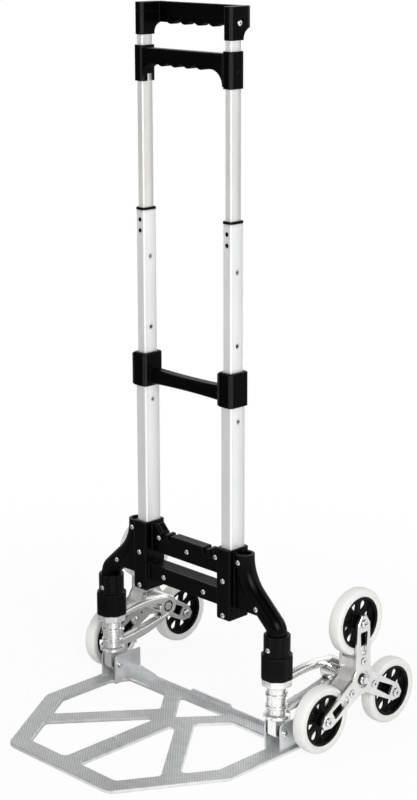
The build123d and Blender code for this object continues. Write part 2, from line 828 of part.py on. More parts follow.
def build_toe_plate():
    """Toe plate with its windows, rear lip and the cheeks of its hinges."""
    outline = plate_outline()
    corners = [v for v in outline.vertices() if v.Y < 0 and abs(v.X) > overcut]
    plate = along_z(fillet(corners, plate_corner), 0, plate_thickness)
    for window in plate_windows():
        plate -= along_z(window, -overcut, plate_thickness + overcut)
    plate = chamfer(plate.faces().sort_by(Axis.Z)[-1].edges(), plate_edge)
    lip_front = plate_rear - lip_thickness
    cheek_inner = post_half_spacing - cheek_half_spacing
    lip_outline = Polygon(
        (0, 0),
        (plate_half_width, 0),
        (plate_half_width, lip_height),
        (post_half_spacing + cheek_half_spacing, gusset_height),
        (cheek_inner, gusset_height),
        (cheek_inner - gusset_length + lip_height, gusset_end_height),
        (cheek_inner - gusset_length, lip_height),
        (tab_half_width + tab_slope, lip_height),
        (tab_half_width, tab_height),
        (0, tab_height),
        align=None,
    )
    plate += both_sides(along_y(lip_outline, lip_front, plate_rear))
    cheek_outline = Polygon(
        (-cheek_front, 0), (-cheek_front, cheek_top), (plate_rear, cheek_top), (plate_rear, 0), align=None
    )
    top_front = cheek_outline.vertices().sort_by_distance((-cheek_front, cheek_top))[0]
    cheek_outline = fillet(top_front, cheek_round)
    cheek_end = post_half_spacing + cheek_half_spacing
    cheek = along_x(cheek_outline, cheek_end - cheek_thickness, cheek_end)
    other = Pos(cheek_thickness - 2 * cheek_half_spacing, 0, 0) * cheek
    plate += both_sides(cheek + other)
    x = post_half_spacing
    reach = cheek_half_spacing + overcut
    plate -= both_sides(rod_x(hinge_pin_diameter, x - reach, x + reach, 0, hinge_height))
    nodes["toe_plate"] = plate

    pin = rod_x(hinge_pin_diameter, x - cheek_half_spacing, x + cheek_half_spacing, 0, hinge_height)
    for side in (-1, 1):
        seat = x + side * cheek_half_spacing
        head = rod_x(pin_head_diameter, seat, seat + side * pin_head_height, 0, hinge_height)
        rim = head.edges().filter_by(GeomType.CIRCLE).sort_by(Axis.X)[-1 if side > 0 else 0]
        pin += fillet(rim, pin_head_height * 0.8)
    nodes["hinge_pins"] = both_sides(pin)

    spacers = Part()
    for side in (-1, 1):
        near = x + side * (tongue_width / 2 + sliding_gap)
        far = x + side * (cheek_half_spacing - cheek_thickness)
        spacers += rod_x(spacer_diameter, near, far, 0, hinge_height)
        spacers -= rod_x(hinge_pin_diameter, near - side, far + side, 0, hinge_height)
    nodes["hinge_spacers"] = both_sides(spacers)


def arm_strut(bottom, top):
    """Arched strut with rounded edges, between a lower and an upper edge of three points each."""
    outline = ThreePointArc(*bottom) + Line(bottom[2], top[2]) + ThreePointArc(*top[::-1])
    outline += Line(top[0], bottom[0])
    face = make_face(outline)
    half = strut_width / 2
    strut = along_x(face, -half, half)
    return fillet(strut.edges().filter_by(GeomType.CIRCLE), strut_round)


def strut_edge(rises, sleeve_end, boss_edge):
    """Three points of a strut's edge in Y and Z: at the post, at mid-length and at the hub."""
    at_post, at_middle, at_hub = rises
    return (
        (0.0, sleeve_end + at_post),
        (hub_reach / 2, sleeve_end + at_middle),
        (hub_reach, boss_edge + at_hub),
    )


def build_wheel_arms():
    """Polished castings that turn on the leg posts and carry the three-wheel spiders."""
    bore = post_diameter / 2 + running_fit
    collar_bottom = arm_top - arm_collar_height
    sleeve_radius = arm_sleeve_diameter / 2
    ring_radius = arm_ring_diameter / 2
    collar_radius = arm_collar_diameter / 2
    outline = [
        (bore, arm_bottom),
        (arm_flange_diameter / 2, arm_bottom),
        (arm_flange_diameter / 2, arm_bottom + arm_flange_height),
        (sleeve_radius, arm_bottom + arm_flange_height + arm_flange_slope),
    ]
    for rise in arm_ring_rises:
        low = arm_bottom + rise - arm_ring_width / 2
        high = low + arm_ring_width
        outline.append((sleeve_radius, low - arm_ring_slope))
        outline.append((ring_radius, low))
        outline.append((ring_radius, high))
        outline.append((sleeve_radius, high + arm_ring_slope))
    outline.append((sleeve_radius, collar_bottom - arm_collar_taper))
    outline.append((collar_radius, collar_bottom))
    outline.append((collar_radius, arm_top))
    outline.append((bore, arm_top))
    profile = Polygon(*outline, align=None)
    sleeve = revolve(Plane.XZ * profile, Axis.Z)
    facets = RegularPolygon(collar_radius, 8, rotation=22.5)
    sleeve &= along_z(facets, arm_bottom, arm_top)
    boss_low = hub_height - boss_diameter / 2
    boss_high = hub_height + boss_diameter / 2
    upper = arm_strut(
        strut_edge(upper_strut_bottom, arm_top, boss_high),
        strut_edge(upper_strut_top, arm_top, boss_high),
    )
    lower = arm_strut(
        strut_edge(lower_strut_bottom, arm_bottom, boss_low),
        strut_edge(lower_strut_top, arm_bottom, boss_low),
    )
    boss_end = spider_offset - spider_inner_half_width - spider_plate_thickness - end_play
    boss = rod_x(boss_diameter, -boss_inner_offset, boss_end, hub_reach, hub_height)
    boss = chamfer(boss.edges().filter_by(GeomType.CIRCLE), boss_bevel)
    tab_outline = Polygon(
        (strut_tab_reach - strut_tab_width, arm_bottom + strut_tab_root),
        (strut_tab_reach, arm_bottom + strut_tab_root),
        (strut_tab_reach, arm_bottom - strut_tab_drop),
        (strut_tab_reach - strut_tab_bevel, arm_bottom),
        align=None,
    )
    tab = along_x(tab_outline, -strut_width / 2, strut_width / 2)
    arm = sleeve + upper + lower + boss + tab
    arm -= rod_z(2 * bore, arm_bottom - overcut, arm_top + overcut)
    arm -= rod_x(hub_axle_diameter, -2 * boss_inner_offset, 2 * boss_end, hub_reach, hub_height)
    head_seat = hub_nut_height - boss_inner_offset
    head_room = hub_nut_size + 2 * hub_head_room
    arm -= rod_x(head_room, -boss_inner_offset - overcut, head_seat, hub_reach, hub_height)
    add_pair("wheel_arm", Pos(post_half_spacing, 0, 0) * arm)

    outer_face = spider_offset + spider_inner_half_width
    axle_end = outer_face + end_play + hub_washer_thickness + hub_nut_height + hub_thread_end
    axle = rod_x(hub_axle_diameter, head_seat, axle_end, hub_reach, hub_height)
    hexagon = along_x(RegularPolygon(hub_nut_size / 2, 6), 0, hub_nut_height)
    head = Pos(-boss_inner_offset, hub_reach, hub_height) * hexagon
    washer_start = outer_face + end_play
    washer_end = washer_start + hub_washer_thickness
    washer = rod_x(hub_washer_diameter, washer_start, washer_end, hub_reach, hub_height)
    nut = Pos(washer_end, hub_reach, hub_height) * hexagon
    nut_bore = rod_x(hub_axle_diameter, 0, axle_end + overcut, hub_reach, hub_height)
    add_pair("hub_axle", Pos(post_half_spacing, 0, 0) * (axle + head))
    add_pair("hub_nut", Pos(post_half_spacing, 0, 0) * (washer + nut - nut_bore))


def spider_arms(sketch):
    """A shape drawn along the first arm, repeated on all three arms."""
    return Sketch() + [Rot(0, 0, angle) * sketch for angle in wheel_angles]


def spider_face():
    """Outline of a spider plate, with a window in each arm."""
    root = spider_arm_root / 2
    tip = spider_arm_tip / 2
    end = spider_radius + spider_tip_reach
    arm = Polygon(
        (0, -root),
        (spider_radius, -tip),
        (end, -tip + spider_tip_bevel),
        (end, tip - spider_tip_bevel),
        (spider_radius, tip),
        (0, root),
        align=None,
    )
    window = Polygon(
        (spider_window_start, -spider_window_root / 2),
        (spider_window_end, -spider_window_tip / 2),
        (spider_window_end, spider_window_tip / 2),
        (spider_window_start, spider_window_root / 2),
        align=None,
    )
    window = fillet(window.vertices(), spider_window_corner)
    return spider_arms(arm) + Circle(spider_hub_diameter / 2) - spider_arms(window)


def build_spiders():
    """Three-armed spiders: two plates on a core, with the screws and the wheels' axles."""
    place = Pos(spider_x, hub_reach, hub_height)
    inner = spider_inner_half_width
    thickness = spider_plate_thickness
    axles_at = [
        (spider_radius * cos(radians(a)), spider_radius * sin(radians(a))) for a in wheel_angles
    ]
    screws_at = [
        (spider_screw_radius * cos(radians(a)), spider_screw_radius * sin(radians(a))) for a in wheel_angles
    ]
    axle_holes = Sketch() + [Pos(y, z) * Circle(wheel_axle_diameter / 2) for y, z in axles_at]
    screw_holes = Sketch() + [Pos(y, z) * Circle(screw_shank_diameter / 2) for y, z in screws_at]
    face = spider_face() - axle_holes - screw_holes
    outer_face = face - Circle(hub_recess_diameter / 2)
    inner_face = face - Circle(hub_axle_diameter / 2 + running_fit)
    outer_plate = along_x(outer_face, inner, inner + thickness)
    outer_plate = chamfer(outer_plate.faces().sort_by(Axis.X)[-1].outer_wire().edges(), spider_edge)
    add_pair("spider_outer_plate", place * outer_plate)
    add_pair("spider_inner_plate", place * along_x(inner_face, -inner - thickness, -inner))

    core_reach = spider_radius - wheel_radius - core_clearance
    core_arm = Pos(core_reach / 2, 0) * Rectangle(core_reach, core_arm_width)
    core_face = (spider_arms(core_arm) + Circle(spider_hub_diameter / 2)) & Circle(core_reach)
    core_face = core_face - Circle(hub_axle_diameter / 2 + running_fit) - screw_holes
    add_pair("spider_core", place * along_x(core_face, -inner, inner))

    screws = Part()
    for y, z in screws_at:
        screws += rod_x(screw_shank_diameter, -inner - thickness, inner + thickness, y, z)
        screws += rod_x(spider_screw_head, inner + thickness, inner + thickness + screw_head_height, y, z)
    add_pair("spider_screws", place * screws)

    axles = Part()
    for y, z in axles_at:
        axle = rod_x(wheel_axle_diameter, -inner - thickness, inner + thickness, y, z)
        for side in (-1, 1):
            seat = side * (inner + thickness)
            head = rod_x(axle_head_diameter, seat, seat + side * axle_head_height, y, z)
            axle += head
        axles += axle
    add_pair("wheel_axles", place * axles)


def build_wheels():
    """Tyres on black rims with drop-shaped slots, three to each spider."""
    tyre = extrude(Circle(wheel_radius) - Circle(rim_diameter / 2), tyre_width / 2, both=True)
    outside = [e for e in tyre.edges().filter_by(GeomType.CIRCLE) if abs(e.radius - wheel_radius) < 0.1]
    tyre = Rot(0, 90, 0) * fillet(outside, tyre_shoulder)

    bore = wheel_axle_diameter / 2 + running_fit
    slot = Pos(rim_slot_start, 0) * Circle(rim_slot_root / 2) + Pos(rim_slot_end, 0) * Circle(
        rim_slot_width / 2
    )
    slot = make_hull(slot.edges())
    slots = Sketch() + [Rot(0, 0, 360.0 * i / rim_slots) * slot for i in range(rim_slots)]
    ring = Circle(rim_diameter / 2) - Circle(rim_diameter / 2 - rim_wall)
    web = Circle(rim_diameter / 2 - rim_wall) - slots
    rim = extrude(ring, rim_width / 2, both=True) + extrude(web, rim_web / 2, both=True)
    rim += extrude(Circle(rim_hub_diameter / 2), spider_inner_half_width - end_play, both=True)
    rim -= extrude(Circle(bore), tyre_width, both=True)
    rim = Rot(0, 90, 0) * rim

    names = {90.0: "top", 210.0: "front", 330.0: "rear"}
    for angle in wheel_angles:
        y = hub_reach + spider_radius * cos(radians(angle))
        z = hub_height + spider_radius * sin(radians(angle))
        place = Pos(spider_x, y, z)
        add_pair(f"tyre_{names[angle]}", place * tyre)
        add_pair(f"rim_{names[angle]}", place * rim)


def build_top_handle():
    """Top handle: sockets on the inner tubes, set-back grip with finger waves, and its rear cover."""
    socket_width = inner_tube_width + 2 * socket_wall
    socket_depth_y = inner_tube_depth + 2 * socket_wall
    front = -socket_depth_y / 2
    back = socket_depth_y / 2
    rear = handle_setback
    grip_bottom = handle_top - handle_grip_height
    profile = Polygon(
        (front, handle_bottom),
        (front, handle_top),
        (rear, handle_top),
        (rear, grip_bottom + handle_arm_step),
        (back, grip_bottom + handle_arm_step),
        (back, handle_bottom),
        align=None,
    )
    inside = profile.vertices().sort_by_distance((back, grip_bottom + handle_arm_step))[0]
    profile = fillet(inside, handle_under_radius)
    arm = along_x(profile, tube_half_spacing - socket_width / 2, tube_half_spacing + socket_width / 2)
    arm = fillet(arm.edges().filter_by(Axis.Z).group_by(Axis.Y)[0], handle_front_corner)
    outer_rear = arm.edges().filter_by(Axis.Z).group_by(Axis.Y)[-1].sort_by(Axis.X)[-1]
    arm = fillet(outer_rear, handle_outer_corner)

    half = tube_half_spacing - socket_width / 4
    level = grip_bottom + finger_rise
    wave, wave_start, wave_end = finger_wave(finger_count, finger_pitch, finger_rise, level)
    outline = wave + Polyline(
        (wave_end, level),
        (half, level),
        (half, handle_top),
        (-half, handle_top),
        (-half, level),
        (wave_start, level),
    )
    grip = along_y(make_face(outline), rear - handle_grip_depth, rear)
    long_edges = [e for e in grip.edges().filter_by(Axis.X) if e.length > half]
    grip = fillet(long_edges, handle_corner / 2)
    seam_end = rear - handle_grip_depth
    seam_floor = along_z(
        Pos(0, seam_end / 2) * RectangleRounded(
            socket_width - 2 * handle_seam_depth,
            seam_end - 2 * (front + handle_seam_depth),
            handle_front_corner - handle_seam_depth,
        ),
        handle_seam_height,
        handle_seam_height + handle_seam_width,
    )
    seam = block(
        (-socket_width, socket_width),
        (2 * front, seam_end),
        (handle_seam_height, handle_seam_height + handle_seam_width),
    )
    arm -= Pos(tube_half_spacing, 0, 0) * (seam - seam_floor)
    handle = both_sides(arm) + grip
    bore = upright(
        inner_tube_width,
        inner_tube_depth,
        tube_corner,
        handle_bottom - overcut,
        inner_tube_top,
        tube_half_spacing,
    )
    handle -= both_sides(bore)
    face = tube_half_spacing + socket_width / 2
    shank_end = face - socket_wall - tube_wall - handle_screw_end
    shank = rod_x(screw_shank_diameter, shank_end, face, handle_screw_setback, handle_screw_height)
    handle -= both_sides(shank)
    head_end = face + screw_head_height
    head = rod_x(screw_head_diameter, face, head_end, handle_screw_setback, handle_screw_height)
    head = fillet(head.edges().filter_by(GeomType.CIRCLE).sort_by(Axis.X)[-1], screw_head_height * 0.8)
    nodes["handle_screws"] = both_sides(shank + head)

    cover_half = half - cover_margin
    cover_low = grip_bottom + cover_margin
    cover_high = handle_top - cover_margin
    cover = block(
        (-cover_half, cover_half),
        (rear - cover_thickness, rear + cover_thickness / 2),
        (cover_low, cover_high),
    )
    cover = fillet(cover.edges().filter_by(Axis.Y), cover_corner)
    handle -= block(
        (-cover_half - end_play, cover_half + end_play),
        (rear - cover_thickness, rear + cover_thickness),
        (cover_low - end_play, cover_high + end_play),
    )
    nodes["top_handle_grip"] = handle
    nodes["top_handle_cover"] = cover


def build_release_grip():
    """Release grip: sleeves that slide on the inner tubes, a finger bar, rods and cross pins."""
    width = inner_tube_width + 2 * (release_wall + sliding_gap)
    depth = inner_tube_depth + 2 * (release_wall + sliding_gap)
    sleeve = upright(width, depth, tube_corner + release_wall, release_bottom, release_top, tube_half_spacing)
    front = -depth / 2
    top = release_top - release_top_drop
    grip_bottom = top - release_grip_height
    level = grip_bottom + finger_rise
    wave, wave_start, wave_end = finger_wave(release_finger_count, release_finger_pitch, finger_rise, level)
    flare_end = tube_half_spacing - width / 2 + release_lap
    flare_low = level - release_flare
    outline = wave + Line((wave_end, level), (flare_end - release_flare, level))
    outline += RadiusArc((flare_end - release_flare, level), (flare_end, flare_low), release_flare)
    outline += Polyline((flare_end, flare_low), (flare_end, top), (-flare_end, top), (-flare_end, flare_low))
    outline += RadiusArc((-flare_end, flare_low), (release_flare - flare_end, level), release_flare)
    outline += Line((release_flare - flare_end, level), (wave_start, level))
    bar = along_y(make_face(outline), front, front + release_grip_depth)
    long_edges = [e for e in bar.edges().filter_by(Axis.X) if e.length > tube_half_spacing]
    bar = fillet(long_edges, release_edge)
    grip = both_sides(sleeve) + bar
    bore = upright(
        inner_tube_width + 2 * sliding_gap,
        inner_tube_depth + 2 * sliding_gap,
        tube_corner,
        release_bottom - overcut,
        release_top + overcut,
        tube_half_spacing,
    )
    grip -= both_sides(bore)
    notch = block(
        (tube_half_spacing - width, tube_half_spacing),
        (-release_notch_front, release_notch_rear),
        (release_bottom - overcut, release_bottom + release_notch_height),
    )
    grip -= both_sides(notch)
    pin_height = release_bottom + rod_pin_rise
    pin_half = width / 2
    pin = rod_x(rod_pin_diameter, tube_half_spacing - pin_half, tube_half_spacing + pin_half, 0, pin_height)
    pins = both_sides(pin)
    nodes["release_grip"] = grip - pins
    nodes["release_pins"] = pins

    yoke_bottom = upper_button_height + button_diameter / 2 + blade_margin
    below = button_diameter / 2 + release_travel + blade_margin
    above = yoke_bottom + yoke_height / 2 - upper_button_height
    blade = along_y(
        blade_profile(upper_button_height, below, above, 0.0), -blade_thickness / 2, blade_thickness / 2
    )
    yoke = block(
        (-rod_diameter / 2, yoke_side),
        (-yoke_thickness / 2, yoke_thickness / 2),
        (yoke_bottom, yoke_bottom + yoke_height),
    )
    rod = rod_z(rod_diameter, yoke_bottom, pin_height)
    eye = block(
        (-rod_diameter / 2, rod_diameter / 2),
        (-rod_pin_diameter, rod_pin_diameter),
        (pin_height - rod_pin_diameter, pin_height + rod_pin_diameter),
    )
    rod = rod + eye + yoke + blade
    rod -= rod_x(rod_pin_diameter, -rod_diameter, rod_diameter, 0, pin_height)
    nodes["release_rods"] = Part() + [Pos(x, 0, 0) * rod for x in (-tube_half_spacing, tube_half_spacing)]


build_tubes()
build_base_frame()
build_crossbar()
build_legs()
build_toe_plate()
build_wheel_arms()
build_spiders()
build_wheels()
build_top_handle()
build_release_grip()

os.makedirs("parts", exist_ok=True)
for name, shape in nodes.items():
    export_step(Pos(0, footprint_shift, 0) * shape, f"parts/{name}.step")
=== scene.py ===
"""Looks of a folding stair-climbing hand truck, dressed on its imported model."""
import json
import logging
import math
from dataclasses import dataclass, field
from enum import Enum
from typing import Any, Callable, Sequence

import bmesh
import bpy
from mathutils import Matrix, Vector


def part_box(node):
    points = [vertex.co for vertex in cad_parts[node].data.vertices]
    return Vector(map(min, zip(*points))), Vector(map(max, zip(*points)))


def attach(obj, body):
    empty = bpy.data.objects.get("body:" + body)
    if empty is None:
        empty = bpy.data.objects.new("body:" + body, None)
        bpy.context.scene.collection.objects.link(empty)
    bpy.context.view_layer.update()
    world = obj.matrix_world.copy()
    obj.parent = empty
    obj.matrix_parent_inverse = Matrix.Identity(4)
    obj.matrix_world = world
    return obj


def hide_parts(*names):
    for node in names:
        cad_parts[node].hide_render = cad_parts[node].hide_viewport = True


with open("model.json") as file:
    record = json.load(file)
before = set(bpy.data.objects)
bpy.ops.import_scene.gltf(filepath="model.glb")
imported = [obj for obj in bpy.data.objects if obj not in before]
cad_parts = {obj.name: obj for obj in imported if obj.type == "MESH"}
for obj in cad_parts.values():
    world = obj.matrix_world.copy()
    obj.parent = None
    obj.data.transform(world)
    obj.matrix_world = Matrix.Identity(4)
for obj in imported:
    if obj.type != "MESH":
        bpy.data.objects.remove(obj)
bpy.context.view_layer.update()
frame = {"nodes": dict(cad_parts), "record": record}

LOG = logging.getLogger("hand_truck")
SIDES = ("left", "right")
WHEEL_PLACES = ("top", "front", "rear")
MERGE = 1e-6
SHARP = math.radians(60.0)
SPIDER_SCREW_GROWTH = 1.3
Colour = tuple[float, float, float]
Span = tuple[float, float]


@dataclass(frozen=True)
class Noise:
    """A noise texture's scale on each axis, detail and roughness."""

    scale: tuple[float, float, float]
    detail: float = 2.0
    roughness: float = 0.5

    @classmethod
    def even(cls, scale: float, detail: float, roughness: float) -> "Noise":
        """A noise with one scale on all axes."""
        return cls((scale, scale, scale), detail, roughness)


@dataclass(frozen=True)
class Relief:
    """How deep a bump is, in metres, and how strongly it shows."""

    depth: float
    strength: float


class Value:
    """A shader socket that takes part in Python expressions.

    Args:
        graph: The graph that holds the socket's node.
        socket: The output socket.
    """

    def __init__(self, graph: "ShaderGraph", socket: bpy.types.NodeSocket) -> None:
        self.graph = graph
        self.socket = socket

    def _math(self, operation: str, first: Any, second: Any = None) -> "Value":
        """Add a Math node for an operation on one or two values."""
        sockets = {0: first} if second is None else {0: first, 1: second}
        return self.graph.node("ShaderNodeMath", {"operation": operation}, sockets)

    def __add__(self, other: Any) -> "Value":
        """Sum."""
        return self._math("ADD", self, other)

    def __radd__(self, other: Any) -> "Value":
        """Sum with a number on the left."""
        return self._math("ADD", other, self)

    def __sub__(self, other: Any) -> "Value":
        """Difference."""
        return self._math("SUBTRACT", self, other)

    def __rsub__(self, other: Any) -> "Value":
        """Difference from a number on the left."""
        return self._math("SUBTRACT", other, self)

    def __mul__(self, other: Any) -> "Value":
        """Product."""
        return self._math("MULTIPLY", self, other)

    def __rmul__(self, other: Any) -> "Value":
        """Product with a number on the left."""
        return self._math("MULTIPLY", other, self)

    def __truediv__(self, other: Any) -> "Value":
        """Quotient."""
        return self._math("DIVIDE", self, other)

    def above(self, level: float) -> "Value":
        """One where the value is over a level, and else nought."""
        return self._math("GREATER_THAN", self, level)

    def below(self, level: float) -> "Value":
        """One where the value is under a level, and else nought."""
        return self._math("LESS_THAN", self, level)

    def size(self) -> "Value":
        """The value without its sign."""
        return self._math("ABSOLUTE", self)

    def power(self, exponent: float) -> "Value":
        """The value raised to a power."""
        return self._math("POWER", self, exponent)

    def ramp(self, low: float, high: float) -> "Value":
        """Smooth step from nought at the low value to one at the high value."""
        settings = {"interpolation_type": "SMOOTHSTEP"}
        sockets = {"Value": self, "From Min": low, "From Max": high}
        return self.graph.node("ShaderNodeMapRange", settings, sockets)


class ShaderGraph:
    """The emptied node tree of a material or world, with short ways to add nodes.

    Args:
        owner: The material or world.
        ending: The type of its output node.
    """

    BEVEL_SAMPLES = 4
    HOLLOW_SAMPLES = 16
    HOLLOW_SPAN = (0.3, 0.85)
    CORNER_SPAN = (0.005, 0.12)
    EDGE_SPAN = (0.004, 0.09)

    def __init__(
        self, owner: bpy.types.Material | bpy.types.World, ending: str = "ShaderNodeOutputMaterial",
    ) -> None:
        self.owner = owner
        owner.use_nodes = True
        self.tree = owner.node_tree
        self.tree.nodes.clear()
        self.output = self.tree.nodes.new(ending)

    @classmethod
    def material(cls, name: str) -> "ShaderGraph":
        """Start the tree of a new material."""
        return cls(bpy.data.materials.new(name))

    def node(
        self, kind: str, settings: dict[str, Any] | None = None, sockets: dict[Any, Any] | None = None,
        out: str | int = 0,
    ) -> Value:
        """Add a node of any type.

        Args:
            kind: The node's type.
            settings: Properties that are set before the sockets.
            sockets: Values or links, by socket name or place.
            out: The output that is handed back.

        Returns:
            The chosen output socket.
        """
        node = self.tree.nodes.new(kind)
        for key, value in (settings or {}).items():
            setattr(node, key, value)
        for key, value in (sockets or {}).items():
            if isinstance(value, Value):
                self.tree.links.new(value.socket, node.inputs[key])
            else:
                node.inputs[key].default_value = value
        return Value(self, node.outputs[out])

    def split(self, vector: Value) -> tuple[Value, Value, Value]:
        """The three parts of a vector."""
        node = self.tree.nodes.new("ShaderNodeSeparateXYZ")
        self.tree.links.new(vector.socket, node.inputs[0])
        return tuple(Value(self, node.outputs[i]) for i in range(3))

    def place(self) -> Value:
        """Object coordinates, which are the truck's own frame in metres."""
        return self.node("ShaderNodeTexCoord", out="Object")

    def facing(self) -> Value:
        """The surface's normal in the truck's own frame."""
        return self.node("ShaderNodeTexCoord", out="Normal")

    def noise(self, look: Noise) -> Value:
        """Noise from nought to one, on object coordinates."""
        scaled = self.node("ShaderNodeMapping", {}, {"Vector": self.place(), "Scale": look.scale})
        sockets = {"Vector": scaled, "Scale": 1.0, "Detail": look.detail, "Roughness": look.roughness}
        return self.node("ShaderNodeTexNoise", {}, sockets)

    def blend(self, factor: Value, low: Colour | Value, high: Colour) -> Value:
        """Mix of a fixed or changing colour with a fixed one."""
        start = low if isinstance(low, Value) else (*low, 1.0)
        sockets = {0: factor, 6: start, 7: (*high, 1.0)}
        return self.node("ShaderNodeMix", {"data_type": "RGBA"}, sockets, out=2)

    def true_normal(self) -> Value:
        """The face's own normal, without smoothing."""
        return self.node("ShaderNodeNewGeometry", out="True Normal")

    def rounded(self, radius: float) -> Value:
        """Normal with the edges rounded off to a radius."""
        return self.node("ShaderNodeBevel", {"samples": self.BEVEL_SAMPLES}, {"Radius": radius})

    def upright_corners(self) -> Value:
        """One on rounded upright corners and nought on the faces between them."""
        right, back, _ = self.split(self.true_normal())
        return (right * back * right * back).ramp(*self.CORNER_SPAN)

    def hollows(self, reach: float) -> Value:
        """One in an object's own hollows and nought on its open faces."""
        settings = {"samples": self.HOLLOW_SAMPLES, "only_local": True}
        open_share = self.node("ShaderNodeAmbientOcclusion", settings, {"Distance": reach}, out="AO")
        return 1.0 - open_share.ramp(*self.HOLLOW_SPAN)

    def edges(self, normal: Value) -> Value:
        """One on rounded edges and nought on flat stretches."""
        settings = {"operation": "DOT_PRODUCT"}
        agree = self.node("ShaderNodeVectorMath", settings, {0: normal, 1: self.true_normal()}, out="Value")
        return (1.0 - agree).ramp(*self.EDGE_SPAN)

    def bump(self, height: Value, relief: Relief, normal: Value | None = None) -> Value:
        """Normal disturbed by a height."""
        sockets: dict[str, Any] = {"Height": height, "Distance": relief.depth, "Strength": relief.strength}
        if normal is not None:
            sockets["Normal"] = normal
        return self.node("ShaderNodeBump", {}, sockets)

    def surface(self, **sockets: Any) -> bpy.types.Material:
        """Close the tree with one principled shader.

        Args:
            sockets: Values or links by socket name, with underscores for spaces.

        Returns:
            The finished material.
        """
        named = {key.replace("_", " "): value for key, value in sockets.items()}
        return self.close(self.node("ShaderNodeBsdfPrincipled", {}, named))

    def close(self, shader: Value) -> bpy.types.Material | bpy.types.World:
        """Link a shader to the output and hand back what the tree belongs to."""
        self.tree.links.new(shader.socket, self.output.inputs["Surface"])
        return self.owner

    def ray(self, kind: str) -> Value:
        """One for rays of a kind, by the name of Light Path's output."""
        return self.node("ShaderNodeLightPath", out=kind)


@dataclass(frozen=True)
class AnodisedTube:
    """Satin anodised extrusion with fine drawing lines along Z and painted highlights on its upright corners.
    """

    name: str = "anodised_tube"
    pale: Colour = (0.93, 0.932, 0.93)
    dull: Colour = (0.86, 0.864, 0.865)
    lines: Noise = Noise((900.0, 900.0, 5.0), 3.0, 0.6)
    smudges: Noise = Noise((24.0, 24.0, 9.0), 4.0, 0.55)
    smudge_share: float = 0.55
    tone_span: Span = (0.3, 0.7)
    edge_radius: float = 0.0055
    painted_corner_highlight: Colour = (0.99, 0.99, 0.985)
    middle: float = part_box("outer_tube_right")[0].y / 2.0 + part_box("outer_tube_right")[1].y / 2.0
    bulge: float = 12.0
    bulge_relief: Relief = Relief(1.0, 1.0)
    metallic: float = 0.55
    corner_fall: float = 0.5
    roughness: float = 0.30
    line_roughness: float = 0.10
    smudge_roughness: float = 0.08
    relief: Relief = Relief(0.00012, 0.25)

    def build(self) -> bpy.types.Material:
        """Make the material."""
        g = ShaderGraph.material(self.name)
        lines, smudges = g.noise(self.lines), g.noise(self.smudges)
        tone = lines * (1.0 - self.smudge_share) + smudges * self.smudge_share
        across = g.split(g.place())[1] - self.middle
        domed = g.bump(across * across * -self.bulge, self.bulge_relief, g.rounded(self.edge_radius))
        # The upright corners are made paler with a painted highlight.
        corner = g.upright_corners()
        face = g.blend(tone.ramp(*self.tone_span), self.dull, self.pale)
        return g.surface(
            Base_Color=g.blend(corner, face, self.painted_corner_highlight),
            Metallic=self.metallic - corner * self.corner_fall,
            Roughness=self.roughness + lines * self.line_roughness + smudges * self.smudge_roughness,
            Normal=g.bump(lines, self.relief, domed),
        )


@dataclass(frozen=True)
class RibbedPlate:
    """Bare aluminium plate, with painted shade between the ribs of its upper face."""

    name: str = "ribbed_plate"
    pale: Colour = (0.87, 0.885, 0.89)
    dull: Colour = (0.74, 0.755, 0.76)
    groove_shade: Colour = (0.42, 0.435, 0.44)
    groove_shade_share: float = 0.35
    groove_top: float = 0.0047
    upward: float = 0.8
    edge_radius: float = 0.0012
    mottle: Noise = Noise.even(60.0, 5.0, 0.6)
    scuffs: Noise = Noise((14.0, 90.0, 14.0), 4.0, 0.6)
    scuff_share: float = 0.4
    tone_span: Span = (0.32, 0.68)
    metallic: float = 0.8
    roughness: float = 0.36
    mottle_roughness: float = 0.14
    groove_roughness: float = 0.12
    relief: Relief = Relief(0.00004, 0.55)

    def build(self) -> bpy.types.Material:
        """Make the material."""
        g = ShaderGraph.material(self.name)
        up = g.split(g.facing())[2].above(self.upward)
        low = g.split(g.place())[2].below(self.groove_top)
        # Upward faces below the rib tops are darkened with painted shade.
        cut = up * low * self.groove_shade_share
        mottle, scuffs = g.noise(self.mottle), g.noise(self.scuffs)
        tone = mottle * (1.0 - self.scuff_share) + scuffs * self.scuff_share
        base = g.blend(tone.ramp(*self.tone_span), self.dull, self.pale)
        return g.surface(
            Base_Color=g.blend(cut, base, self.groove_shade),
            Metallic=self.metallic,
            Roughness=self.roughness + mottle * self.mottle_roughness + cut * self.groove_roughness,
            Normal=g.bump(mottle, self.relief, g.rounded(self.edge_radius)),
        )


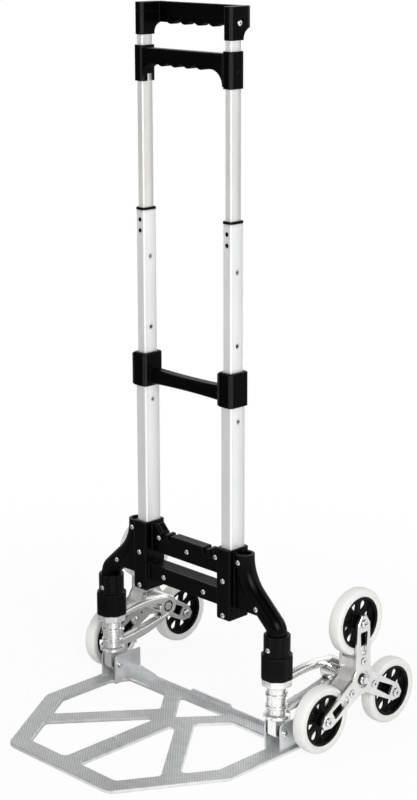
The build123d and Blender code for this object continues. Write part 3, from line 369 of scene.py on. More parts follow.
@dataclass(frozen=True)
class PolishedCasting:
    """Bright casting, a little wavy, with painted shade in its hollows or round the hub where they are asked
    for.
    """

    name: str = "polished_casting"
    bright: Colour = (0.98, 0.975, 0.965)
    dull: Colour = (0.92, 0.915, 0.905)
    roughness: float = 0.05
    metallic: float = 1.0
    wave_scale: tuple[float, float, float] = (45.0, 45.0, 45.0)
    waviness: float = 0.025
    wave_depth: float = 0.0005
    wave_roughness: float = 0.04
    grain: Noise = Noise.even(420.0, 3.0, 0.6)
    grain_share: float = 0.5
    grain_roughness: float = 0.05
    tone_span: Span = (0.3, 0.62)
    edge_radius: float = 0.0009
    hub_recess_shade: Colour = (0.05, 0.05, 0.052)
    hub_recess_reach: float = 0.0
    hub_recess_roughness: float = 0.3
    shade: Colour = (0.12, 0.12, 0.122)
    hollow_reach: float = 0.0

    def build(self) -> bpy.types.Material:
        """Make the material."""
        g = ShaderGraph.material(self.name)
        waves, grain = g.noise(Noise(self.wave_scale)), g.noise(self.grain)
        tone = waves * (1.0 - self.grain_share) + grain * self.grain_share
        metal = g.blend(tone.ramp(*self.tone_span), self.dull, self.bright)
        rough = self.roughness + grain * self.grain_roughness + waves * self.wave_roughness
        # Painted shade: the face within a reach of the hub's axis, inside its recess, is darkened and made
        # rougher.
        if self.hub_recess_reach:
            _, y, z = g.split(g.place())
            hub = (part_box("hub_nut_right")[0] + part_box("hub_nut_right")[1]) / 2.0
            back, up = y - hub.y, z - hub.z
            in_hub_recess = (back * back + up * up).power(0.5).below(self.hub_recess_reach)
            metal = g.blend(in_hub_recess, metal, self.hub_recess_shade)
            rough = rough + in_hub_recess * self.hub_recess_roughness
        # Painted shade: the object's own hollows, found by ambient occlusion, are darkened.
        if self.hollow_reach:
            metal = g.blend(g.hollows(self.hollow_reach), metal, self.shade)
        return g.surface(
            Base_Color=metal, Metallic=self.metallic, Roughness=rough,
            Normal=g.bump(waves, Relief(self.wave_depth, self.waviness), g.rounded(self.edge_radius)),
        )


@dataclass(frozen=True)
class PlatedSteel:
    """Plated steel of pins, axles and screws, painted dark as shade where a mesh marks itself as sunk."""

    name: str = "plated_steel"
    bright: Colour = (0.92, 0.925, 0.93)
    dull: Colour = (0.76, 0.77, 0.78)
    roughness: float = 0.2
    painted_shade_colour: Colour = (0.10, 0.10, 0.105)
    spots: Noise = Noise.even(520.0, 4.0, 0.6)
    spot_roughness: float = 0.14
    tone_span: Span = (0.3, 0.65)
    edge_radius: float = 0.0005
    relief: Relief = Relief(0.0001, 0.2)

    def build(self) -> bpy.types.Material:
        """Make the material."""
        g = ShaderGraph.material(self.name)
        spots = g.noise(self.spots)
        # The sunk attribute marks where the plating is painted dark as shade.
        sunk = g.node("ShaderNodeAttribute", {"attribute_name": "sunk"}, out="Fac")
        plating = g.blend(spots.ramp(*self.tone_span), self.dull, self.bright)
        return g.surface(
            Base_Color=g.blend(sunk, plating, self.painted_shade_colour),
            Metallic=1.0,
            Roughness=self.roughness + spots * self.spot_roughness,
            Normal=g.bump(spots, self.relief, g.rounded(self.edge_radius)),
        )


@dataclass(frozen=True)
class MouldedPlastic:
    """Black moulded plastic with a fine grain, edges made paler partly by wear and partly as a painted
    highlight, and painted highlights on upright corners where asked for.
    """

    name: str = "moulded_plastic"
    base: Colour = (0.0006, 0.0006, 0.0007)
    worn_and_highlit: Colour = (0.022, 0.022, 0.023)
    roughness: float = 0.22
    gloss: float = 0.1
    corner_highlight: float = 0.0
    edge_wear_and_highlight: float = 0.45
    edge_radius: float = 0.003
    clouds: Noise = Noise.even(30.0, 4.0, 0.6)
    cloud_wear: float = 0.03
    cloud_roughness: float = 0.12
    sparks: Noise = Noise.even(1900.0, 2.0, 0.55)
    spark_roughness: float = 0.05
    relief: Relief = Relief(0.00012, 0.22)

    def build(self) -> bpy.types.Material:
        """Make the material."""
        g = ShaderGraph.material(self.name)
        sparks, clouds = g.noise(self.sparks), g.noise(self.clouds)
        soft = g.rounded(self.edge_radius)
        # Paler edges are partly wear and partly a painted highlight; the clouds are random tone.
        wear_and_highlight = g.edges(soft) * self.edge_wear_and_highlight + clouds * self.cloud_wear
        # Upright corners get a painted highlight.
        if self.corner_highlight:
            wear_and_highlight = wear_and_highlight + g.upright_corners() * self.corner_highlight
        return g.surface(
            Base_Color=g.blend(wear_and_highlight, self.base, self.worn_and_highlit),
            Specular_IOR_Level=self.gloss,
            Roughness=self.roughness + clouds * self.cloud_roughness + sparks * self.spark_roughness,
            Normal=g.bump(sparks, self.relief, soft),
        )


@dataclass(frozen=True)
class TyreRubber:
    """Pale grey rubber with a dusty tread and faint mould lines round the wheel."""

    name: str = "tyre_rubber"
    pale: Colour = (0.83, 0.826, 0.805)
    warm: Colour = (0.79, 0.785, 0.762)
    dust: Colour = (0.74, 0.73, 0.70)
    dust_share: float = 0.45
    dust_span: Span = (0.3, 0.8)
    tone_span: Span = (0.35, 0.7)
    tread_span: Span = (0.62, 0.95)
    clouds: Noise = Noise.even(55.0, 5.0, 0.6)
    grain: Noise = Noise.even(1300.0, 2.0, 0.5)
    grain_share: float = 0.5
    rings: float = 46.0
    ring_share: float = 0.12
    roughness: float = 0.55
    cloud_roughness: float = 0.16
    tread_roughness: float = 0.08
    relief: Relief = Relief(0.00022, 0.3)

    def build(self) -> bpy.types.Material:
        """Make the material."""
        g = ShaderGraph.material(self.name)
        across = g.split(g.node("ShaderNodeTexCoord", out="UV"))[1]
        tread = (1.0 - (across - 0.5).size() * 2.0).ramp(*self.tread_span)
        clouds, grain = g.noise(self.clouds), g.noise(self.grain)
        turns = across * (self.rings * 2.0 * math.pi)
        ring = g.node("ShaderNodeMath", {"operation": "SINE"}, {0: turns})
        base = g.blend(clouds.ramp(*self.tone_span), self.warm, self.pale)
        dusty = tread * clouds.ramp(*self.dust_span) * self.dust_share
        return g.surface(
            Base_Color=g.blend(dusty, base, self.dust),
            Roughness=self.roughness + clouds * self.cloud_roughness + tread * self.tread_roughness,
            Normal=g.bump(grain * self.grain_share + ring * self.ring_share, self.relief),
        )


class FinishKind(Enum):
    """The truck's finishes."""

    TUBE = AnodisedTube()
    INNER_TUBE = AnodisedTube("inner_tube", (0.83, 0.825, 0.805), (0.73, 0.727, 0.71), bulge=30.0)
    PLATE = RibbedPlate()
    RIB = RibbedPlate("plate_rib", edge_radius=0.0007)
    CASTING = PolishedCasting(metallic=0.82, hollow_reach=0.022)
    SPIDER = PolishedCasting(
        "satin_spider", (0.93, 0.925, 0.91), (0.80, 0.795, 0.78), 0.26, wave_scale=(60.0, 60.0, 60.0),
        waviness=0.06, hub_recess_reach=0.0124,
    )
    CORE = PolishedCasting(
        "cast_core", (0.88, 0.875, 0.86), (0.72, 0.715, 0.70), 0.36, 0.55, (90.0, 90.0, 90.0), 0.2,
    )
    CHROME = PolishedCasting(
        "chromed_post", (0.97, 0.97, 0.965), (0.92, 0.92, 0.915), metallic=0.8, wave_scale=(30.0, 30.0, 12.0),
        hollow_reach=0.006,
    )
    STEEL = PlatedSteel()
    ZINC = PlatedSteel("zinc_screw", (0.93, 0.935, 0.94), (0.80, 0.81, 0.82), 0.24)
    # A darker copy of the plated steel: painted shade for the lock buttons sitting in their holes.
    SHADED_BUTTON = PlatedSteel("lock_button", (0.30, 0.30, 0.31), (0.16, 0.16, 0.165), 0.16)
    PLASTIC = MouldedPlastic(gloss=0.05, corner_highlight=1.2)
    SHELL = MouldedPlastic("shell_plastic")
    RIM = MouldedPlastic("rim_plastic", (0.0022, 0.0022, 0.0022), (0.010, 0.010, 0.010), 0.34)
    INSIDE = MouldedPlastic("inside_plastic", (0.03, 0.03, 0.032), (0.06, 0.06, 0.06), 0.5)
    TYRE = TyreRubber()


class Wardrobe:
    """Keeps one material for each finish and puts it on objects."""

    def __init__(self) -> None:
        self.made: dict[FinishKind, bpy.types.Material] = {}

    def material(self, kind: FinishKind) -> bpy.types.Material:
        """The material of a finish, made when first asked for."""
        if kind not in self.made:
            self.made[kind] = kind.value.build()
        return self.made[kind]

    def dress(self, obj: bpy.types.Object, kind: FinishKind) -> None:
        """Give an object one finish all over."""
        obj.data.materials.clear()
        obj.data.materials.append(self.material(kind))


@dataclass
class Piece:
    """A new mesh that stands for CAD nodes and moves with a body.

    Args:
        name: The object's name.
        body: The CAD body that it rides on.
        slot: The record's material slot; not used.
        finish: The finish that it wears.
        stands_for: The CAD nodes that it hides.
    """

    name: str
    body: str
    slot: str
    finish: FinishKind
    stands_for: tuple[str, ...] = ()

    def make(self, bm: bmesh.types.BMesh, wardrobe: Wardrobe, smooth: float = 40.0) -> bpy.types.Object:
        """Turn a bmesh into the finished object.

        Args:
            bm: The shape, in the truck's frame. It is freed.
            wardrobe: Where the finish comes from.
            smooth: Edges sharper than this many degrees stay hard.

        Returns:
            The new object.
        """
        bmesh.ops.recalc_face_normals(bm, faces=bm.faces)
        for face in bm.faces:
            face.smooth = True
        limit = math.radians(smooth)
        for edge in bm.edges:
            edge.smooth = edge.is_manifold and edge.calc_face_angle(0.0) < limit
        mesh = bpy.data.meshes.new(self.name)
        bm.to_mesh(mesh)
        bm.free()
        obj = bpy.data.objects.new(self.name, mesh)
        bpy.context.scene.collection.objects.link(obj)
        wardrobe.dress(obj, self.finish)
        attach(obj, self.body)
        if self.stands_for:
            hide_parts(*self.stands_for)
        LOG.info("piece %s on %s, %d faces", self.name, self.body, len(mesh.polygons))
        return obj


def solid_boxes(node: str) -> list[tuple[Vector, Vector]]:
    """Boxes of the separate solids in a CAD node.

    Args:
        node: The node's name.

    Returns:
        The lowest and highest corner of each solid.
    """
    bm = bmesh.new()
    bm.from_mesh(frame["nodes"][node].data)
    bmesh.ops.remove_doubles(bm, verts=bm.verts, dist=MERGE)
    boxes = []
    left = set(bm.verts)
    while left:
        stack = [left.pop()]
        island = list(stack)
        while stack:
            for edge in stack.pop().link_edges:
                for vert in edge.verts:
                    if vert in left:
                        left.remove(vert)
                        stack.append(vert)
                        island.append(vert)
        low = Vector([min(v.co[i] for v in island) for i in range(3)])
        high = Vector([max(v.co[i] for v in island) for i in range(3)])
        boxes.append((low, high))
    bm.free()
    return boxes


def sharp_edges(bm: bmesh.types.BMesh) -> list[bmesh.types.BMEdge]:
    """The edges of a shape between faces that meet sharply."""
    return [edge for edge in bm.edges if edge.is_manifold and edge.calc_face_angle() > SHARP]


def outward(seat: Vector, way: Vector) -> Matrix:
    """The frame that stands on a point with its own +Z along a way."""
    return Matrix.Translation(seat) @ way.to_track_quat("Z", "Y").to_matrix().to_4x4()


def spin_section(bm: bmesh.types.BMesh, section: Sequence[tuple[float, float]], steps: int) -> None:
    """Turn a closed section once about the X axis.

    Args:
        bm: Where the ring is added.
        section: Points as places along the axis and radii, once round.
        steps: How many faces go round the axis.
    """
    ring = [bm.verts.new((x, 0.0, r)) for x, r in section]
    edges = [bm.edges.new((a, b)) for a, b in zip(ring, ring[1:] + ring[:1])]
    bmesh.ops.spin(
        bm, geom=ring + edges, cent=(0.0, 0.0, 0.0), axis=(1.0, 0.0, 0.0), angle=2.0 * math.pi,
        steps=steps, use_merge=True,
    )


@dataclass
class Tyres:
    """Tyres with a crowned tread, rounded shoulders and stepped sidewalls."""

    wardrobe: Wardrobe
    steps: int = 72
    smooth: float = 50.0
    crown: float = 0.0006
    half_way_crown: float = 0.3
    shoulder: float = 0.0042
    shoulder_steps: int = 6
    wall_step: float = 0.0007
    step_start: float = 0.35
    step_end: float = 0.42
    seat_lip: float = 0.0025

    def profile(self, half_width: float, outer: float, inner: float) -> list[tuple[float, float]]:
        """Closed section of a tyre.

        Args:
            half_width: Half of the tyre's width.
            outer: Radius at the tread.
            inner: Radius at the rim.

        Returns:
            Points as places along the axle and radii, once round.
        """
        flat = half_width - self.shoulder
        side = half_width - self.wall_step
        half = [(0.0, outer), (flat / 2.0, outer - self.crown * self.half_way_crown)]
        half.append((flat, outer - self.crown))
        for index in range(1, self.shoulder_steps + 1):
            turn = math.pi / 2.0 * index / self.shoulder_steps
            across = flat + self.shoulder * math.sin(turn)
            half.append((across, outer - self.crown - self.shoulder * (1.0 - math.cos(turn))))
        wall = outer - self.crown - self.shoulder
        half.append((half_width, wall - (wall - inner) * self.step_start))
        half.append((side, wall - (wall - inner) * self.step_end))
        half.append((side, inner + self.seat_lip))
        half.append((side - self.seat_lip / 2.0, inner))
        mirrored = [(-x, r) for x, r in reversed(half)]
        return half + mirrored[:-1]

    def build(self, place: str, side: str) -> bpy.types.Object:
        """Make one tyre in the place of its CAD node."""
        node = f"tyre_{place}_{side}"
        low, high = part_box(node)
        rim_low, rim_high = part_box(f"rim_{place}_{side}")
        width, inner = high.x - low.x, (rim_high.z - rim_low.z) / 2.0
        bm = bmesh.new()
        spin_section(bm, self.profile(width / 2.0, (high.z - low.z) / 2.0, inner), self.steps)
        bmesh.ops.remove_doubles(bm, verts=bm.verts, dist=MERGE)
        layer = bm.loops.layers.uv.new("wheel")
        for face in bm.faces:
            for loop in face.loops:
                arm = loop.vert.co
                turn = math.atan2(arm.y, arm.z) / (2.0 * math.pi) + 0.5
                loop[layer].uv = (turn, arm.x / width + 0.5)
        bmesh.ops.translate(bm, vec=(low + high) / 2.0, verts=bm.verts)
        piece = Piece(f"moulded_{node}", f"wheel_{place}_{side}", "tyre_rubber", FinishKind.TYRE, (node,))
        return piece.make(bm, self.wardrobe, self.smooth)


@dataclass
class Rims:
    """Black rims with drop-shaped windows in a thin web."""

    wardrobe: Wardrobe
    windows: int = 8
    first_window: float = math.radians(58.0)
    loop_points: int = 32
    steps: int = 64
    ring_width: float = 0.018
    ring_wall: float = 0.004
    ring_lip: float = 0.0012
    web: float = 0.0028
    web_edge: float = 0.0005
    hub_radius: float = 0.010
    bore: float = 0.0042
    overlap: float = 0.0006
    window_middle: float = 0.0226
    window_reach: float = 0.0078
    window_half_width: float = 0.0071
    window_taper: float = 0.42

    def window_point(self, out: float, side: float) -> tuple[float, float]:
        """Radius and turn of a window's edge, for a point of a unit circle."""
        along = self.window_middle + self.window_reach * out
        aside = self.window_half_width * side * (1.0 - self.window_taper + self.window_taper * out)
        return math.hypot(along, aside), math.atan2(aside, along)

    def sector_point(self, out: float, side: float, ring_inside: float) -> tuple[float, float]:
        """Radius and turn on the edge of one window's share of the web, for a point of a unit circle."""
        wide = max(abs(out), abs(side))
        low, high = self.hub_radius - self.overlap, ring_inside + self.overlap
        return low + (high - low) * (out / wide + 1.0) / 2.0, side / wide * math.pi / self.windows

    def build_web(self, bm: bmesh.types.BMesh, ring_inside: float) -> None:
        """Add the web with its windows.

        Args:
            bm: Where the web is added.
            ring_inside: The radius at which the ring starts.
        """
        shapes: tuple[Callable[[float, float], tuple[float, float]], ...] = (
            self.window_point, lambda out, side: self.sector_point(out, side, ring_inside),
        )
        for shape in shapes:
            for vert in bmesh.ops.create_circle(bm, segments=self.loop_points, radius=1.0)["verts"]:
                radius, turn = shape(vert.co.x, vert.co.y)
                turn += self.first_window
                vert.co = (0.0, radius * math.cos(turn), radius * math.sin(turn))
        bmesh.ops.bridge_loops(bm, edges=bm.edges[:])
        more = self.windows - 1
        bmesh.ops.spin(
            bm, geom=bm.verts[:] + bm.edges[:] + bm.faces[:], cent=(0.0, 0.0, 0.0), axis=(1.0, 0.0, 0.0),
            angle=2.0 * math.pi * more / self.windows, steps=more, use_duplicate=True,
        )
        bmesh.ops.remove_doubles(bm, verts=bm.verts, dist=MERGE)
        bmesh.ops.recalc_face_normals(bm, faces=bm.faces)
        bmesh.ops.solidify(bm, geom=bm.faces[:], thickness=self.web)
        middle = (min(v.co.x for v in bm.verts) + max(v.co.x for v in bm.verts)) / 2.0
        bmesh.ops.translate(bm, vec=(-middle, 0.0, 0.0), verts=bm.verts)
        bmesh.ops.bevel(
            bm, geom=sharp_edges(bm), offset=self.web_edge, affect="EDGES", segments=2, profile=0.5,
            material=-1, clamp_overlap=True,
        )

    def build(self, place: str, side: str) -> bpy.types.Object:
        """Make one rim in the place of its CAD node."""
        node = f"rim_{place}_{side}"
        low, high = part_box(node)
        outer = (high.z - low.z) / 2.0
        half, lip, inside = self.ring_width / 2.0, self.ring_lip, outer - self.ring_wall
        hub_half = (high.x - low.x) / 2.0
        bm = bmesh.new()
        self.build_web(bm, inside)
        ring = [(-half, outer), (half, outer), (half, inside + lip), (half - lip, inside)]
        ring += [(lip - half, inside), (-half, inside + lip)]
        hub = [(-hub_half, self.bore), (-hub_half, self.hub_radius)]
        hub += [(hub_half, self.hub_radius), (hub_half, self.bore)]
        for section in (ring, hub):
            spin_section(bm, section, self.steps)
        bmesh.ops.remove_doubles(bm, verts=bm.verts, dist=MERGE)
        bmesh.ops.translate(bm, vec=(low + high) / 2.0, verts=bm.verts)
        piece = Piece(f"windowed_{node}", f"wheel_{place}_{side}", "rim_plastic", FinishKind.RIM, (node,))
        return piece.make(bm, self.wardrobe)


@dataclass
class PlateRibs:
    """Fine slanting ribs that stand on the toe plate's upper face."""

    wardrobe: Wardrobe
    face_height: float = 0.0045
    pitch: float = 0.0034
    width_share: float = 0.5
    height: float = 0.0003
    sink: float = 0.0002
    upward: float = 0.99
    same_face: float = math.radians(1.0)
    smooth: float = 30.0
    across: tuple[float, float, float] = (math.sqrt(0.5), math.sqrt(0.5), 0.0)

    def build(self) -> bpy.types.Object:
        """Cut the plate's upper face into strips and raise every other one.

        Returns:
            The new object, which rides with the plate.
        """
        bm = bmesh.new()
        bm.from_mesh(frame["nodes"]["toe_plate"].data)
        bmesh.ops.remove_doubles(bm, verts=bm.verts, dist=MERGE)
        rest = [
            f for f in bm.faces
            if f.normal.z < self.upward or abs(f.calc_center_median().z - self.face_height) > self.sink
        ]
        bmesh.ops.delete(bm, geom=rest, context="FACES")
        way = Vector(self.across)
        reach = [way.dot(v.co) for v in bm.verts]
        first, last = math.floor(min(reach) / self.pitch), math.ceil(max(reach) / self.pitch)
        for step in range(first, last + 1):
            for share in (0.0, self.width_share):
                cut = way * (step + share) * self.pitch
                whole = bm.verts[:] + bm.edges[:] + bm.faces[:]
                bmesh.ops.bisect_plane(bm, geom=whole, plane_co=cut, plane_no=way)
        grooves = [
            f for f in bm.faces if way.dot(f.calc_center_median()) / self.pitch % 1.0 > self.width_share
        ]
        bmesh.ops.delete(bm, geom=grooves, context="FACES")
        bmesh.ops.dissolve_limit(bm, angle_limit=self.same_face, verts=bm.verts[:], edges=bm.edges[:])
        bmesh.ops.solidify(bm, geom=bm.faces[:], thickness=self.height + self.sink)
        lowest = min(v.co.z for v in bm.verts)
        lift = self.face_height - self.sink - lowest
        bmesh.ops.translate(bm, vec=(0.0, 0.0, lift), verts=bm.verts)
        piece = Piece("toe_plate_ribs", "toe_plate_fold", "plate_aluminium", FinishKind.RIB)
        return piece.make(bm, self.wardrobe, self.smooth)


@dataclass
class SleeveBeads:
    """Upright beads on the front of the crossbar's two sleeves."""

    wardrobe: Wardrobe
    radius: float = 0.0016
    proud: float = 0.0011
    insets: tuple[float, float] = (0.0024, 0.0037)
    side_wall: float = 0.0033
    end_gap: float = 0.0012
    end_round: float = 0.0007
    sides: int = 20

    def build(self) -> bpy.types.Object:
        """Make the four beads.

        Returns:
            The new object, which rides with the frame.
        """
        bm = bmesh.new()
        low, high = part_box("mid_crossbar")
        length = high.z - low.z - 2.0 * self.end_gap
        for side in SIDES:
            tube_low, tube_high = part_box(f"outer_tube_{side}")
            left, right = tube_low.x - self.side_wall, tube_high.x + self.side_wall
            for x in (left + self.insets[0], right - self.insets[1]):
                middle = Vector((x, low.y - self.proud + self.radius, (low.z + high.z) / 2.0))
                bmesh.ops.create_cone(
                    bm, cap_ends=True, segments=self.sides, radius1=self.radius, radius2=self.radius,
                    depth=length, matrix=Matrix.Translation(middle),
                )
        bmesh.ops.bevel(
            bm, geom=sharp_edges(bm), offset=self.end_round, affect="EDGES", segments=3, profile=0.5,
            material=-1,
        )
        piece = Piece("sleeve_beads", "frame", "black_plastic", FinishKind.PLASTIC)
        return piece.make(bm, self.wardrobe)


@dataclass
class CrossScrews:
    """Domed screws with a cross recess, one for each solid of a CAD group."""

    wardrobe: Wardrobe
    cells: int = 28
    recess_half_width: float = 0.12
    recess_reach: float = 0.46
    recess_depth: float = 0.45
    rim_start: float = 0.95
    dome_reach: float = 0.96
    head_height: float = 0.002
    turn_step: float = math.radians(37.0)
    smooth: float = 35.0
    disc_sides: int = 48
    axle_head_height: float = 0.003
    axle_shank_share: float = 0.56
    washer_thickness: float = 0.0015
    cap_share: float = 0.87

    def head(self, bm: bmesh.types.BMesh, radius: float, height: float, place: Matrix) -> None:
        """Add one head that looks along its own +Z.

        Args:
            bm: Where the head is added.
            radius: The head's radius.
            height: The head's height over its seat.
            place: The seat's frame.
        """
        grid = bmesh.ops.create_grid(bm, x_segments=self.cells, y_segments=self.cells, size=1.0)["verts"]
        shade = bm.verts.layers.float["sunk"]
        for vert in grid:
            x, y, _ = vert.co
            across = x * math.sqrt(max(0.0, 1.0 - y * y / 2.0))
            along = y * math.sqrt(max(0.0, 1.0 - x * x / 2.0))
            reach = min(1.0, math.hypot(across, along))
            rise = math.sqrt(max(0.0, 1.0 - (self.dome_reach * reach) ** 2))
            wide, thin = max(abs(x), abs(y)), min(abs(x), abs(y))
            sunk = wide < self.recess_reach and thin < self.recess_half_width
            depth = self.recess_depth if sunk else 0.0
            # The cross recess and the head's round rim are marked for painted shade.
            vert[shade] = 1.0 if sunk or reach > self.rim_start else 0.0
            vert.co = (across * radius, along * radius, height * (rise - depth))
        rim = [e for e in {e for v in grid for e in v.link_edges} if e.is_boundary]
        skirt = bmesh.ops.extrude_edge_only(bm, edges=rim)["geom"]
        for vert in (g for g in skirt if isinstance(g, bmesh.types.BMVert)):
            vert.co.z = 0.0
            grid.append(vert)
        base = [e for e in skirt if isinstance(e, bmesh.types.BMEdge) and all(v.co.z == 0.0 for v in e.verts)]
        bmesh.ops.contextual_create(bm, geom=base)
        bmesh.ops.transform(bm, matrix=place, verts=list(set(grid)))

    def disc(
        self, bm: bmesh.types.BMesh, radius: float, length: float, place: Matrix, sunk: float = 0.0,
    ) -> None:
        """Add a cylinder that stands on a place's own XY plane.

        Args:
            bm: Where the cylinder is added.
            radius: The cylinder's radius.
            length: The cylinder's length.
            place: The frame that it stands in.
            sunk: How much painted shade it has, from nought to one.
        """
        lifted = place @ Matrix.Translation((0.0, 0.0, length / 2.0))
        verts = bmesh.ops.create_cone(
            bm, cap_ends=True, segments=self.disc_sides, radius1=radius, radius2=radius, depth=length,
            matrix=lifted,
        )["verts"]
        shade = bm.verts.layers.float["sunk"]
        for vert in verts:
            vert[shade] = sunk

    def build_axles(self, side: str) -> bpy.types.Object:
        """Make one spider's wheel axles, each with a domed head at both ends.

        Args:
            side: The truck's side.

        Returns:
            The new object, which stands for the CAD axles.
        """
        node = f"wheel_axles_{side}"
        height = self.axle_head_height
        bm = bmesh.new()
        bm.verts.layers.float.new("sunk")
        for low, high in solid_boxes(node):
            centre = (low + high) / 2.0
            radius = (high.z - low.z) / 2.0
            for way in (-1.0, 1.0):
                end = Vector((centre.x + way * ((high.x - low.x) / 2.0 - height), centre.y, centre.z))
                self.head(bm, radius, height, outward(end, Vector((way, 0.0, 0.0))))
            start = Matrix.Translation((low.x + height, centre.y, centre.z))
            along = Matrix.Rotation(math.pi / 2.0, 4, "Y")
            self.disc(bm, radius * self.axle_shank_share, high.x - low.x - 2.0 * height, start @ along)
        piece = Piece(f"domed_{node}", f"spider_{side}", "bright_steel", FinishKind.STEEL, (node,))
        return piece.make(bm, self.wardrobe, self.smooth)

    def build_hub(self, side: str) -> bpy.types.Object:
        """Make one hub's washer and domed cap nut.

        Args:
            side: The truck's side.

        Returns:
            The new object, which stands for the CAD nut.
        """
        node = f"hub_nut_{side}"
        low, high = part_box(node)
        centre = (low + high) / 2.0
        out = math.copysign(1.0, centre.x)
        radius = (high.z - low.z) / 2.0
        bm = bmesh.new()
        bm.verts.layers.float.new("sunk")
        seat = Vector((low.x if out > 0.0 else high.x, centre.y, centre.z))
        place = outward(seat, Vector((out, 0.0, 0.0)))
        washer = self.washer_thickness
        # The washer is marked fully, so it is painted dark as shade.
        self.disc(bm, radius, washer, place, 1.0)
        lifted = place @ Matrix.Translation((0.0, 0.0, washer))
        self.head(bm, radius * self.cap_share, high.x - low.x - washer, lifted)
        piece = Piece(f"capped_{node}", f"arm_{side}", "bright_steel", FinishKind.STEEL, (node,))
        return piece.make(bm, self.wardrobe, self.smooth)

    def build(
        self, node: str, body: str, look: Vector | None, grow: float = 1.0,
    ) -> bpy.types.Object:
        """Make the heads of one CAD group.

        Args:
            node: The group's node.
            body: The body that it rides on.
            look: The way that the heads face, or None for away from the truck's middle plane.
            grow: How much wider a head is than its CAD solid.

        Returns:
            The new object, which stands for the node.
        """
        bm = bmesh.new()
        bm.verts.layers.float.new("sunk")
        for index, (low, high) in enumerate(solid_boxes(node)):
            centre = (low + high) / 2.0
            out = look or Vector((math.copysign(1.0, centre.x), 0.0, 0.0))
            tip = Vector([centre[i] + out[i] * (high[i] - low[i]) / 2.0 for i in range(3)])
            sides = [high[i] - low[i] for i in range(3) if not out[i]]
            spin = Matrix.Rotation(self.turn_step * index, 4, "Z")
            place = outward(tip - out * self.head_height, out) @ spin
            self.head(bm, grow * max(sides) / 2.0, self.head_height, place)
        piece = Piece(f"cross_{node}", body, "zinc_steel", FinishKind.ZINC, (node,))
        return piece.make(bm, self.wardrobe, self.smooth)


@dataclass
class NodeDresser:
    """Puts a finish on each CAD node that is kept."""

    wardrobe: Wardrobe
    finishes: dict[str, FinishKind] = field(default_factory=lambda: {
        "tube_aluminium": FinishKind.TUBE,
        "plate_aluminium": FinishKind.PLATE,
        "polished_casting": FinishKind.CASTING,
        "bright_steel": FinishKind.STEEL,
        "zinc_steel": FinishKind.ZINC,
        "black_plastic": FinishKind.PLASTIC,
        "rim_plastic": FinishKind.RIM,
        "spacer_plastic": FinishKind.INSIDE,
        "tyre_rubber": FinishKind.TYRE,
    })
    special: dict[str, FinishKind] = field(default_factory=lambda: {
        "inner_tube": FinishKind.INNER_TUBE,
        "leg_post": FinishKind.CHROME,
        "leg_coupler": FinishKind.SHELL,
        "frame_front_shell": FinishKind.SHELL,
        "frame_rear_shell": FinishKind.SHELL,
        "lower_lock_button": FinishKind.SHADED_BUTTON,
        "upper_lock_button": FinishKind.SHADED_BUTTON,
        "release_pins": FinishKind.PLASTIC,
        "spider_core": FinishKind.CORE,
        "spider_inner_plate": FinishKind.SPIDER,
        "spider_outer_plate": FinishKind.SPIDER,
    })

    def build(self) -> None:
        """Dress every node by its material slot."""
        for entry in frame["record"]["subparts"]:
            node = entry["node"]
            kind = self.finishes[entry["material_slot"]]
            kind = next((chosen for start, chosen in self.special.items() if node.startswith(start)), kind)
            self.wardrobe.dress(frame["nodes"][node], kind)
            LOG.info("node %s wears %s", node, kind.value.name)


@dataclass(frozen=True)
class Lamp:
    """A square soft lamp: its name, place, side length and power."""

    name: str
    place: tuple[float, float, float]
    size: float
    power: float


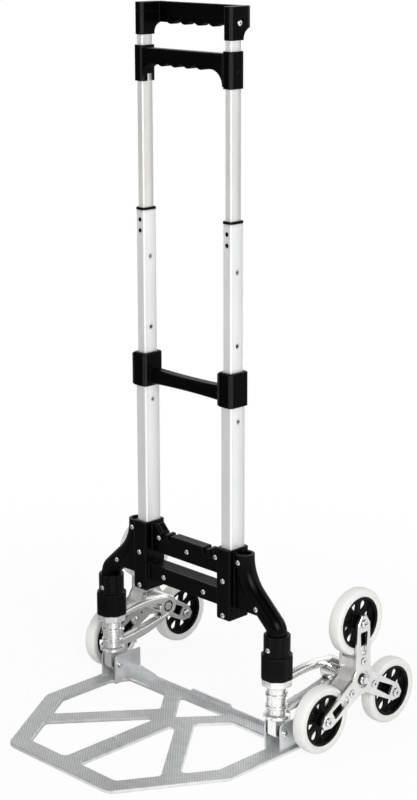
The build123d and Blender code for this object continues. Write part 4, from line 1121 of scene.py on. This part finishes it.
@dataclass
class Studio:
    """Pale floor, soft lamps, white surroundings and the camera."""

    image: tuple[int, int] = (417, 800)
    focal_pixels: float = 1870.6
    principal: tuple[float, float] = (211.9, 350.5)
    eye: tuple[float, float, float] = (1.7886, -1.71827, 1.1381)
    yaw: float = math.radians(45.24)
    pitch: float = math.radians(13.61)
    roll: float = math.radians(-0.12)
    sensor: float = 36.0
    sight: float = 60.0
    floor_half: float = 12.0
    floor_drop: float = 0.0006
    floor_grey: float = 0.9
    floor_glow: float = 0.9
    floor_fade: Span = (0.3, 1.2)
    backdrop_rear: Span = (-0.3, 0.6)
    backdrop_top: Span = (0.25, 0.8)
    sky_level: float = 0.52
    front_level: float = 0.04
    bright_turn: float = math.radians(-18.0)
    bright_span: Span = (-0.5, 0.95)
    bright_level: float = 1.0
    dim_level: float = 0.22
    aim: tuple[float, float, float] = (0.0, 0.0, 0.45)
    lamps: tuple[Lamp, ...] = (
        Lamp("key", (2.5, -1.3, 1.7), 1.2, 52.0),
        Lamp("front_fill", (-0.9, -2.6, 1.5), 1.6, 20.0),
        Lamp("rear_rim", (-0.8, 2.4, 1.8), 1.2, 12.0),
    )

    def camera(self) -> None:
        """Place the camera at the photograph's view."""
        forward = Vector((
            -math.sin(self.yaw) * math.cos(self.pitch), math.cos(self.yaw) * math.cos(self.pitch),
            -math.sin(self.pitch),
        ))
        right = Vector((math.cos(self.yaw), math.sin(self.yaw), 0.0))
        up = right.cross(forward)
        tilted_right = math.cos(self.roll) * right + math.sin(self.roll) * up
        tilted_up = math.cos(self.roll) * up - math.sin(self.roll) * right
        data = bpy.data.cameras.new("photo_camera")
        width, height = self.image
        data.sensor_width = self.sensor
        data.lens = self.focal_pixels * self.sensor / height
        data.shift_x = (width / 2.0 - self.principal[0]) / height
        data.shift_y = (self.principal[1] - height / 2.0) / height
        data.clip_end = self.sight
        obj = bpy.data.objects.new("photo_camera", data)
        axes = Matrix((tilted_right, tilted_up, -forward)).transposed().to_4x4()
        obj.matrix_world = Matrix.Translation(Vector(self.eye)) @ axes
        bpy.context.scene.collection.objects.link(obj)
        bpy.context.scene.camera = obj

    def floor(self) -> None:
        """Lay a pale floor that fades to white, keeps the shadow and is mirrored brightest to one side."""
        bm = bmesh.new()
        bmesh.ops.create_grid(bm, x_segments=2, y_segments=2, size=self.floor_half)
        bmesh.ops.translate(bm, vec=(0.0, 0.0, -self.floor_drop), verts=bm.verts)
        mesh = bpy.data.meshes.new("floor")
        bm.to_mesh(mesh)
        bm.free()
        obj = bpy.data.objects.new("floor", mesh)
        bpy.context.scene.collection.objects.link(obj)
        g = ShaderGraph.material("studio_floor")
        x, y, _ = g.split(g.place())
        away = (x * x + y * y).power(0.5)
        mirrored = g.ray("Is Glossy Ray") + g.ray("Is Transmission Ray")
        seen = g.ray("Is Camera Ray") + mirrored
        share = seen * (self.floor_glow + away.ramp(*self.floor_fade) * (1.0 - self.floor_glow))
        swing = (x * math.cos(self.bright_turn) + y * math.sin(self.bright_turn)) / away
        dimmer, brighter = (self.dim_level,) * 3, (self.bright_level,) * 3
        sheen = g.blend(swing.ramp(*self.bright_span), dimmer, brighter)
        tone = g.blend(1.0 - mirrored, sheen, (1.0, 1.0, 1.0))
        matt = g.node("ShaderNodeBsdfDiffuse", {}, {"Color": (*(self.floor_grey,) * 3, 1.0)})
        glow = g.node("ShaderNodeEmission", {}, {"Color": tone, "Strength": 1.0})
        mesh.materials.append(g.close(g.node("ShaderNodeMixShader", {}, {0: share, 1: matt, 2: glow})))

    def surroundings(self) -> None:
        """Hang a white backdrop that dims towards the front where metal mirrors it."""
        world = bpy.data.worlds.new("studio")
        bpy.context.scene.world = world
        g = ShaderGraph(world, "ShaderNodeOutputWorld")
        seen = g.ray("Is Camera Ray")
        mirrored = g.ray("Is Glossy Ray") + g.ray("Is Transmission Ray")
        _, back, up = g.split(g.node("ShaderNodeTexCoord", out="Generated"))
        sheet = back.ramp(*self.backdrop_rear) * (1.0 - up.ramp(*self.backdrop_top))
        backdrop = self.front_level + sheet * (1.0 - self.front_level)
        unseen = mirrored * backdrop + (1.0 - mirrored) * self.sky_level
        strength = seen + (1.0 - seen) * unseen
        sockets = {"Color": (1.0, 1.0, 1.0, 1.0), "Strength": strength}
        g.close(g.node("ShaderNodeBackground", {}, sockets))

    def hang(self, lamp: Lamp) -> None:
        """Hang one lamp so that it looks at the truck's middle."""
        data = bpy.data.lights.new(lamp.name, "AREA")
        data.size = lamp.size
        data.energy = lamp.power
        obj = bpy.data.objects.new(lamp.name, data)
        place = Vector(lamp.place)
        turn = (Vector(self.aim) - place).to_track_quat("-Z", "Y").to_matrix().to_4x4()
        obj.matrix_world = Matrix.Translation(place) @ turn
        bpy.context.scene.collection.objects.link(obj)

    def build(self) -> None:
        """Set up the whole studio."""
        bpy.context.scene.view_settings.view_transform = "Standard"
        self.camera()
        self.floor()
        self.surroundings()
        for lamp in self.lamps:
            self.hang(lamp)


def main() -> None:
    """Dress the truck and set up its studio."""
    logging.basicConfig(level=logging.INFO, format="%(message)s")
    wardrobe = Wardrobe()
    NodeDresser(wardrobe).build()
    tyres, rims = Tyres(wardrobe), Rims(wardrobe)
    for side in SIDES:
        for place in WHEEL_PLACES:
            tyres.build(place, side)
            rims.build(place, side)
    PlateRibs(wardrobe).build()
    SleeveBeads(wardrobe).build()
    screws = CrossScrews(wardrobe)
    forwards = Vector((0.0, -1.0, 0.0))
    screws.build("frame_screws", "frame", forwards)
    screws.build("coupler_screws", "frame", forwards)
    screws.build("handle_screws", "inner_stage", None)
    for side in SIDES:
        screws.build(f"spider_screws_{side}", f"spider_{side}", None, SPIDER_SCREW_GROWTH)
        screws.build_axles(side)
        screws.build_hub(side)
    Studio().build()


if __name__ == "__main__":
    main()
